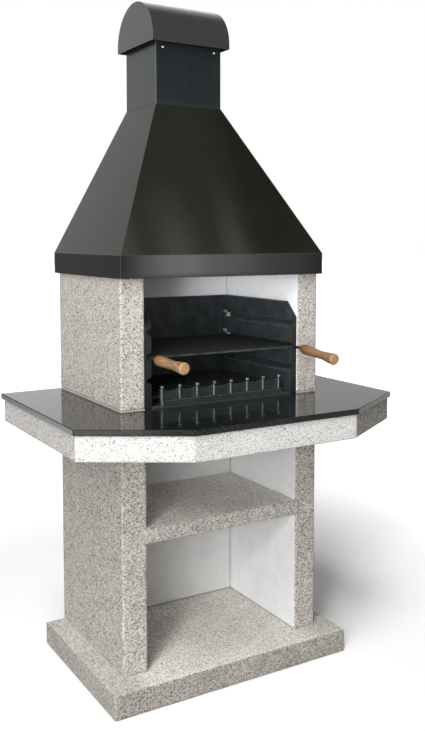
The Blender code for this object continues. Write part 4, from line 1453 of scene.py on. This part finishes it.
@dataclass
class CookingGrid(Assembly):
    """The welded grid: a bent frame rod with two tangs, a front rail, bars and bearers."""

    frame_rod: float = 8 * MM
    side_bend: float = 18 * MM
    front: float = -205 * MM
    rail: float = 7.2 * MM
    rail_sides: int = 16
    bar: float = 4 * MM
    bars: int = 22
    bearer: float = 5 * MM
    bearer_spread: float = 240 * MM
    weld: float = 0.6 * MM
    weld_bead: float = 3.1 * MM
    bead_sides: int = 10
    bead_rings: int = 7
    bead_flatness: float = 0.62
    bead_drop: float = 0.35
    left_droop: float = math.radians(1.5)
    right_droop: float = math.radians(5.5)
    stub: float = 36.5 * MM
    tang: float = 72 * MM
    bend: float = 4 * MM

    def __post_init__(self) -> None:
        """Read the grid's place off its node."""
        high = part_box("cooking_grid")[1]
        self.half = high.x - self.frame_rod / 2
        self.back = high.y - self.frame_rod / 2
        self.axis = high.z - self.frame_rod / 2

    def droop(self, side: float) -> float:
        """How far the handle on a side hangs down, in radians."""
        return self.left_droop if side < 0.0 else self.right_droop

    def tang_point(self, side: float, distance: float) -> Vector:
        """A point on a handle's drooping axis.

        Args:
            side: -1 for the left handle, 1 for the right.
            distance: How far it is beyond the bend.

        Returns:
            The point.
        """
        y = self.front - self.stub - distance * math.cos(self.droop(side))
        z = self.axis - distance * math.sin(self.droop(side))
        return Vector((side * self.half, y, z))

    def rod_points(self) -> list[Vector]:
        """The axis of the frame rod.

        Returns:
            Its points, from one tang round the grid's back to the other.
        """
        turn = self.side_bend
        behind = Vector((0.0, self.bend, 0.0))
        along = (self.tang, self.bend, 0.0)
        corners = arc((self.half - turn, self.back - turn), turn, 0.0, math.pi / 2, 12)
        corners += arc((-self.half + turn, self.back - turn), turn, math.pi / 2, math.pi, 12)
        return [
            *(self.tang_point(1.0, distance) for distance in along),
            self.tang_point(1.0, 0.0) + behind,
            *(Vector((x, y, self.axis)) for x, y in corners),
            self.tang_point(-1.0, 0.0) + behind,
            *(self.tang_point(-1.0, distance) for distance in reversed(along)),
        ]

    def rod_shape(self) -> Shape:
        """The frame rod.

        Returns:
            The rod's shape.
        """
        points = self.rod_points()
        curve = bpy.data.curves.new("frame_rod", "CURVE")
        curve.dimensions = "3D"
        curve.bevel_depth = self.frame_rod / 2
        curve.bevel_resolution = 6
        curve.use_fill_caps = True
        spline = curve.splines.new("POLY")
        spline.points.add(len(points) - 1)
        for slot, point in zip(spline.points, points):
            slot.co = (*point, 1.0)
        holder = stand("frame_rod", curve)
        bpy.context.view_layer.update()
        graph = bpy.context.evaluated_depsgraph_get()
        data = bpy.data.meshes.new_from_object(holder.evaluated_get(graph))
        bpy.data.objects.remove(holder)
        bpy.data.curves.remove(curve)
        shape = bmesh.new()
        shape.from_mesh(data)
        bpy.data.meshes.remove(data)
        bmesh.ops.remove_doubles(shape, verts=shape.verts, dist=WELD)
        return shape

    def bead(self, place: Vector) -> Shape:
        """A small weld bead, a flattened drop.

        Args:
            place: Its middle.

        Returns:
            The bead's shape.
        """
        shape = bmesh.new()
        flat = Matrix.Diagonal((1.0, 1.0, self.bead_flatness, 1.0))
        bmesh.ops.create_uvsphere(
            shape,
            u_segments=self.bead_sides,
            v_segments=self.bead_rings,
            radius=self.weld_bead,
            matrix=Matrix.Translation(place) @ flat,
        )
        return shape

    def build(self) -> None:
        """Make the grid."""
        rail_ends = [Vector((side * self.half, self.front, self.axis)) for side in (-1.0, 1.0)]
        rail = rod(*rail_ends, self.rail / 2, self.rail_sides)
        for face in rail.faces:
            face.material_index = 1
        shapes = [self.rod_shape(), rail, *(self.bead(end) for end in rail_ends)]
        level = self.axis + (self.frame_rod - self.bar) / 2 - self.weld
        drop = Vector((0.0, 0.0, -self.bar * self.bead_drop))
        for index in range(self.bars):
            y = self.front + (self.back - self.front) * (index + 1) / (self.bars + 1)
            ends = [Vector((side * self.half, y, level)) for side in (-1.0, 1.0)]
            shapes += [rod(*ends, self.bar / 2), *(self.bead(end + drop) for end in ends)]
        under = level - (self.bar + self.bearer) / 2 + self.weld
        for side in (-1.0, 1.0):
            x = side * self.bearer_spread / 2
            shapes.append(rod((x, self.front, under), (x, self.back, under), self.bearer / 2))
        finishes = [self.palette.rod, self.palette.rail]
        self.bench.show("cooking_grid", joined(shapes), finishes, Slot.GRID, Body.GRID)


@dataclass
class Handles(Assembly):
    """A ferrule and a turned grip on each of the grid's tangs."""

    grid: CookingGrid
    bore: float = 4.3 * MM
    bore_play: float = 4 * MM
    ferrule_length: float = 12 * MM
    ferrule_small: float = 6.2 * MM
    ferrule_large: float = 9.5 * MM
    ferrule_rim: float = 0.9 * MM
    length: float = 172 * MM
    root: float = 16.2 * MM
    waist: float = 13.3 * MM
    end: float = 18.2 * MM
    end_round: float = 8 * MM
    shares: tuple[float, ...] = (0.025, 0.11, 0.36, 0.62, 0.78)
    grain_turn: float = 0.7
    sides: int = 40
    stretches: int = 9

    def stations(self) -> list[Pair]:
        """The grip's outer form.

        Returns:
            Its stations as (share of the length, radius) points.
        """
        large, root, waist, end = self.ferrule_large, self.root, self.waist, self.end
        radii = (large, (root + large) / 2, root, (root + waist) / 2, waist, (waist + end) / 2, end)
        return list(zip((0.0, *self.shares, 1.0 - self.end_round / self.length), radii))

    def grip_profile(self) -> list[Pair]:
        """The grip's smooth profile, from the bore over its root to its domed end.

        Returns:
            The (radius, height) points.
        """
        stations = self.stations()
        points = []
        for index, (start, end) in enumerate(zip(stations, stations[1:])):
            before = stations[max(0, index - 1)]
            after = stations[min(len(stations) - 1, index + 2)]
            span = end[0] - start[0]
            rise_in = (end[1] - before[1]) / (end[0] - before[0]) * span
            rise_out = (after[1] - start[1]) / (after[0] - start[0]) * span
            for step in range(self.stretches):
                t = step / self.stretches
                radius = (
                    (2 * t**3 - 3 * t**2 + 1) * start[1]
                    + (t**3 - 2 * t**2 + t) * rise_in
                    + (3 * t**2 - 2 * t**3) * end[1]
                    + (t**3 - t**2) * rise_out
                )
                points.append((radius, (start[0] + span * t) * self.length))
        middle = (self.end - self.end_round, self.length - self.end_round)
        points += arc(middle, self.end_round, 0.0, math.pi / 2, 8)
        points += [((self.end - self.end_round) / 2, self.length), (0.0, self.length)]
        depth = self.grid.tang - self.ferrule_length + self.bore_play
        return [(0.0, depth), (self.bore, depth), (self.bore, 0.0), *points]

    def ferrule_profile(self) -> list[Pair]:
        """The ferrule's profile, a cone with a rolled rim at each end.

        Returns:
            The (radius, height) points.
        """
        small, large, length = self.ferrule_small, self.ferrule_large, self.ferrule_length
        rim = self.ferrule_rim
        edge = rim / 2
        return [
            (self.bore, 0.0),
            (small - edge, 0.0),
            *arc((small - edge, edge), edge, 0.0, math.pi / 2, 4),
            (small - edge, rim * 1.4),
            (large - rim, length - rim * 1.6),
            *arc((large - edge, length - edge), edge, -math.pi / 2, math.pi / 2, 6),
            (self.bore, length),
        ]

    def build(self) -> None:
        """Make both handles."""
        for name, side in (("left", -1.0), ("right", 1.0)):
            tilt = Matrix.Rotation(math.pi / 2 + self.grid.droop(side), 4, "X")
            at_root = Matrix.Translation(self.grid.tang_point(side, 0.0)) @ tilt
            ferrule = lathe(self.ferrule_profile(), self.sides, looped=True)
            steel = [self.palette.ferrule]
            self.bench.show(name + "_ferrule", ferrule, steel, Slot.ZINC, Body.GRID, at_root)
            grip = lathe(self.grip_profile(), self.sides)
            wood = [TurnedBeech("turned_beech_" + name, self.length).material()]
            at_grip = Matrix.Translation(self.grid.tang_point(side, self.ferrule_length + FIT))
            turned = at_grip @ tilt @ Matrix.Rotation(side * self.grain_turn, 4, "Z")
            self.bench.show(name + "_grip", grip, wood, Slot.WOOD, Body.GRID, turned)


@dataclass
class Hood(Assembly):
    """The folded hood, its duct and barrel cap, and what carries and holds them."""

    sheet: float = 1.5 * MM
    fold: float = 2.6 * MM
    cell: float = 22 * MM
    dent: float = 0.55 * MM
    dent_run: float = 150 * MM
    dent_stretch: float = 0.35
    slope_rise: float = 0.2
    neck: float = 35 * MM
    rim: float = 69 * MM
    skirt: float = 13.0 * MM
    crown_steps: int = 72
    frame_easing: float = 0.5 * MM
    screw_head: float = 2.2 * MM
    screw_shank: float = 2.0 * MM
    screw_sides: int = 24

    def folded(self, rings: Sequence[tuple[float, float, float, float]]) -> Shape:
        """An open folded sheet through rectangles, its folds rounded and its faces a little uneven.

        Args:
            rings: Each rectangle's half width, front, back and height, from the foot up.

        Returns:
            The sheet.
        """
        shape = bmesh.new()
        loops = []
        for half, front, back, height in rings:
            corners = ((-half, front), (half, front), (half, back), (-half, back))
            loops.append([shape.verts.new((x, y, height)) for x, y in corners])
        for low, high in zip(loops, loops[1:]):
            for corner in range(4):
                following = (corner + 1) % 4
                shape.faces.new((low[corner], low[following], high[following], high[corner]))
        ease_edges(shape, self.fold, 3, convex_only=False)
        slice_shape(shape, self.cell)
        shape.normal_update()
        slope = face_mark(shape, "slope")
        for face in shape.faces:
            face[slope] = float(face.normal.y < -PARTLY and face.normal.z > self.slope_rise)
        for vert in shape.verts:
            place = Vector((vert.co.x, vert.co.y, vert.co.z * self.dent_stretch))
            wave = noise.noise(place / self.dent_run)
            vert.co -= vert.normal * self.dent * (wave * 0.5 + 0.5)
        return shape

    def sheet_piece(self, node: str, shape: Shape, *finishes: Material) -> None:
        """Show a piece of thin sheet in its finishes."""
        self.bench.show(node, shape, finishes, Slot.HOOD, sheet=self.sheet)

    def canopy(self) -> None:
        """Make the hood itself."""
        low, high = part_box("hood")
        duct_low, duct_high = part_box("chimney_duct")
        inward = self.sheet + FIT
        inner = duct_high.x - self.sheet - FIT
        foot = duct_low.z - FIT
        brim = low.z + self.rim
        shape = self.folded([
            (high.x, low.y, high.y, low.z),
            (high.x, low.y, high.y, brim),
            (duct_high.x, duct_low.y, duct_high.y, foot),
            (inner, duct_low.y + inward, duct_high.y - inward, foot),
            (inner, duct_low.y + inward, duct_high.y - inward, foot + self.neck),
        ])
        for face in shape.faces:
            face.material_index = int(face.calc_center_median().z < brim)
        self.sheet_piece("hood", shape, self.palette.hood, self.palette.hood_rim)

    def duct(self) -> None:
        """Make the square duct."""
        low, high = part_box("chimney_duct")
        shape = self.folded([(high.x, low.y, high.y, height) for height in (low.z, high.z)])
        self.sheet_piece("chimney_duct", shape, self.palette.duct)

    def cap(self) -> None:
        """Make the barrel cap, open underneath."""
        low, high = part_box("chimney_cap")
        middle = (low.y + high.y) / 2
        radius = (high.y - low.y) / 2
        crown = arc((middle, low.z + self.skirt), radius, 0.0, math.pi, self.crown_steps)
        outline = [(middle + radius, low.z), *crown, (middle - radius, low.z)]
        shape = plate(outline, high.x - low.x)
        floor = low.z + FIT
        under = [face for face in shape.faces if all(vert.co.z < floor for vert in face.verts)]
        bmesh.ops.delete(shape, geom=under, context="FACES")
        ease_edges(shape, self.fold / 2, 3)
        self.sheet_piece("chimney_cap", shape, self.palette.cap)

    def ironwork(self) -> None:
        """Make the seat ring, the straps and the anchors."""
        paint, zinc = (self.palette.frame_paint, Slot.FRAME), (self.palette.screw, Slot.ZINC)
        pieces = {node: paint for node in ("hood_seat_ring", "cap_strap_left", "cap_strap_right")}
        pieces |= {"ring_anchor_%d" % number: zinc for number in range(1, 5)}
        for node, (finish, slot) in pieces.items():
            self.bench.show(node, eased(node, self.frame_easing), [finish], slot)

    def cap_screw(self, node: str, turn: float) -> None:
        """Make one screw with a domed head.

        Args:
            node: The node that it stands for.
            turn: 1 where it looks to the front, -1 where it looks back.
        """
        low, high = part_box(node)
        radius = (high.x - low.x) / 2
        rounds = arc((0.0, 0.0), 1.0, 0.0, math.pi / 2, 6)[:-1]
        dome = [(radius * share, self.screw_head * rise) for share, rise in rounds]
        length = high.y - low.y - self.screw_head
        shank = [(0.0, -length), (self.screw_shank, -length), (self.screw_shank, 0.0)]
        shape = lathe([*shank, *dome, (0.0, self.screw_head)], self.screw_sides)
        face = low.y + self.screw_head if turn > 0 else high.y - self.screw_head
        place = Matrix.Translation(((low.x + high.x) / 2, face, (low.z + high.z) / 2))
        place = place @ Matrix.Rotation(turn * math.pi / 2, 4, "X")
        self.bench.show(node, shape, [self.palette.screw], Slot.ZINC, place=place)

    def build(self) -> None:
        """Make the hood and all that belongs to it."""
        self.canopy()
        self.duct()
        self.cap()
        self.ironwork()
        for row, turn in (("front", 1.0), ("back", -1.0)):
            for name in ("left", "right"):
                self.cap_screw("cap_screw_%s_%s" % (row, name), turn)


@dataclass(frozen=True)
class Camera:
    """The photograph's viewpoint."""

    place: Point = (-1.4269, -2.5155, 1.4175)
    yaw: float = math.radians(30.848)
    pitch: float = math.radians(-4.643)
    focal_pixels: float = 861.96
    centre_row: float = 307.76
    frame_rows: float = 731.0
    sensor: float = 36.0

    def build(self) -> None:
        """Set the camera up."""
        data = bpy.data.cameras.new("camera")
        data.sensor_fit = "AUTO"
        data.sensor_width = self.sensor
        data.lens = self.focal_pixels / self.frame_rows * self.sensor
        data.shift_y = (self.centre_row - self.frame_rows / 2) / self.frame_rows
        thing = stand("camera", data)
        thing.location = self.place
        thing.rotation_euler = (math.pi / 2 + self.pitch, 0.0, -self.yaw)
        bpy.context.scene.camera = thing


def aim(thing: bpy.types.Object, place: Point, towards: Point) -> None:
    """Put a lamp or card somewhere and turn its face to a point.

    Args:
        thing: The lamp or card.
        place: Where its middle lies.
        towards: The point that it faces.
    """
    thing.location = place
    sight = Vector(towards) - Vector(place)
    thing.rotation_euler = sight.to_track_quat("-Z", "Y").to_euler()


@dataclass(frozen=True)
class FarLamp:
    """One soft lamp, far away."""

    name: str
    azimuth: float
    elevation: float
    strength: float
    spread: float

    def hang(self) -> None:
        """Hang the lamp, its azimuth in degrees from the front towards the right."""
        data = bpy.data.lights.new(self.name, "SUN")
        data.energy = self.strength
        data.angle = math.radians(self.spread)
        turn = (math.radians(90.0 - self.elevation), 0.0, math.radians(self.azimuth))
        stand(self.name, data).rotation_euler = turn


@dataclass(frozen=True)
class SoftBox:
    """A lit panel near the barbecue, which may show in gloss alone."""

    name: str
    place: Point
    towards: Point
    width: float
    height: float
    glow: float
    gloss_only: bool = False
    spread: float = 180.0

    def hang(self) -> None:
        """Hang the panel, turned towards a point."""
        data = bpy.data.lights.new(self.name, "AREA")
        data.shape = "RECTANGLE"
        data.size = self.width
        data.size_y = self.height
        data.energy = self.glow * math.pi * self.width * self.height
        data.spread = math.radians(self.spread)
        panel = stand(self.name, data)
        aim(panel, self.place, self.towards)
        panel.visible_camera = False
        panel.visible_diffuse = not self.gloss_only


@dataclass(frozen=True)
class Card:
    """A dark card that only gloss shows, so that coated sheet reflects more than plain white."""

    name: str
    place: Point
    towards: Point
    width: float
    height: float
    tone: float = 0.0

    def hang(self) -> None:
        """Hang the card, turned towards a point."""
        shape = bmesh.new()
        flat = Matrix.Diagonal((self.width, self.height, 1.0, 1.0))
        bmesh.ops.create_grid(shape, x_segments=1, y_segments=1, size=0.5, matrix=flat)
        data = mesh_of(shape, self.name)
        recipe = Recipe(self.name)
        recipe.surface(Emission_Color=(self.tone,) * 3, Emission_Strength=1.0)
        recipe.surface(Base_Color=(0.0, 0.0, 0.0), Roughness=1.0, Specular_IOR_Level=0.0)
        data.materials.append(recipe.material)
        card = stand(self.name, data)
        aim(card, self.place, self.towards)
        card.visible_camera = False
        card.visible_diffuse = False
        card.visible_transmission = False
        card.visible_shadow = False


RIM_BOXES = tuple(
    SoftBox(name, (x, -3.0, 1.25), (towards, -0.22, 1.33), width, 0.7, glow, gloss_only=True)
    for name, x, towards, width, glow in (
        ("rim_box", 1.27, -0.19, 0.34, 5.6),
        ("rim_tail", 1.64, 0.0, 0.44, 3.1),
        ("rim_end", 2.14, 0.15, 0.56, 1.1),
    )
)


@dataclass
class Studio:
    """The pale floor, the white surroundings and the lamps."""

    floor_half: float = 40.0
    floor_level: float = -0.4 * MM
    floor_tone: Colour = (0.302, 0.302, 0.302)
    floor_white: Colour = (0.98, 0.98, 0.98)
    floor_glow: Colour = (0.04, 0.04, 0.04)
    far_glow: float = 9.5
    far_range: Pair = (1.1, 2.45)
    ambient: float = 0.11
    kit: tuple[FarLamp | SoftBox | Card, ...] = (
        SoftBox("key_panel", (-2.37, -2.29, 1.15), (0.0, 0.0, 0.95), 1.1, 2.0, 7.6),
        SoftBox(
            "chamber_box", (-1.75, -1.95, 1.10), (0.21, 0.01, 1.26), 0.16, 0.16, 2.0, spread=12.0
        ),
        FarLamp("high_lamp", -46.0, 60.0, 1.38, 18.0),
        FarLamp("upper_lamp", -47.0, 45.0, 0.50, 12.0),
        FarLamp("middle_lamp", -47.0, 31.0, 0.75, 9.0),
        FarLamp("low_fill", -42.0, 5.0, 1.30, 32.0),
        FarLamp("front_fill", -14.0, 18.0, 0.26, 40.0),
        FarLamp("back_fill", 140.0, 25.0, 0.40, 40.0),
        *RIM_BOXES,
        Card("back_card", (2.45, 2.20, 1.25), (0.40, 0.0, 0.90), 2.2, 2.3, tone=0.62),
        Card("slope_card", (1.30, -1.06, 4.20), (0.0, -0.15, 1.65), 3.2, 3.2),
        Card("front_card", (2.20, -3.70, 2.20), (0.0, -0.20, 1.60), 3.4, 3.0),
        Card("left_card", (-0.97, 1.31, 1.08), (-0.37, 0.05, 1.30), 1.0, 0.95, tone=0.26),
    )

    def surroundings(self) -> None:
        """Make a world that is white to the eye and in gloss, and dimmer as a lamp."""
        world = bpy.data.worlds.new("studio")
        world.use_nodes = True
        bpy.context.scene.world = world
        wiring = Wiring(world.node_tree)
        sockets = wiring.tree.nodes["Background"].inputs
        wiring.feed(sockets["Color"], (1.0, 1.0, 1.0))
        wiring.feed(sockets["Strength"], self.ambient + (1.0 - self.ambient) * wiring.seen())

    def floor(self) -> None:
        """Lay a white floor that keeps the barbecue's shadow."""
        shape = bmesh.new()
        bmesh.ops.create_grid(shape, x_segments=2, y_segments=2, size=self.floor_half)
        floor = stand("floor", mesh_of(shape, "floor"))
        floor.location.z = self.floor_level
        recipe = Recipe("floor_white")
        seen = recipe.seen()
        length = {"operation": "LENGTH"}
        away = recipe.node("ShaderNodeVectorMath", length, {0: recipe.place()}, "Value")
        # Past the far range the glow grows: it whitens the distant floor and, as painted light,
        # fades the far part of the shadow.
        level = seen * (1.0 + self.far_glow * away.rise(*self.far_range))
        tone = recipe.blend(seen, self.floor_tone, self.floor_white)
        recipe.surface(Base_Color=tone, Roughness=1.0, Specular_IOR_Level=0.0)
        glow = recipe.shade(self.floor_glow, level)
        recipe.surface(Emission_Color=glow, Emission_Strength=1.0)
        floor.data.materials.append(recipe.material)

    def build(self) -> None:
        """Set the studio up."""
        bpy.context.scene.view_settings.view_transform = "Standard"
        self.surroundings()
        self.floor()
        for item in self.kit:
            item.hang()


def main() -> None:
    """Build the sub-assemblies in order, set the studio up and report."""
    logging.basicConfig(level=logging.INFO, format="%(name)s: %(message)s")
    bench = Bench(Palette())
    grid = CookingGrid(bench)
    builders = [
        Masonry(bench), GraniteTop(bench), Firebox(bench), EmberGuard(bench),
        grid, Handles(bench, grid), Hood(bench), Studio(), Camera(),
    ]
    for builder in builders:
        builder.build()
        LOG.info("%s done", type(builder).__name__)
    LOG.info("%d pieces in all", len(bench.made))


if __name__ == "__main__":
    main()
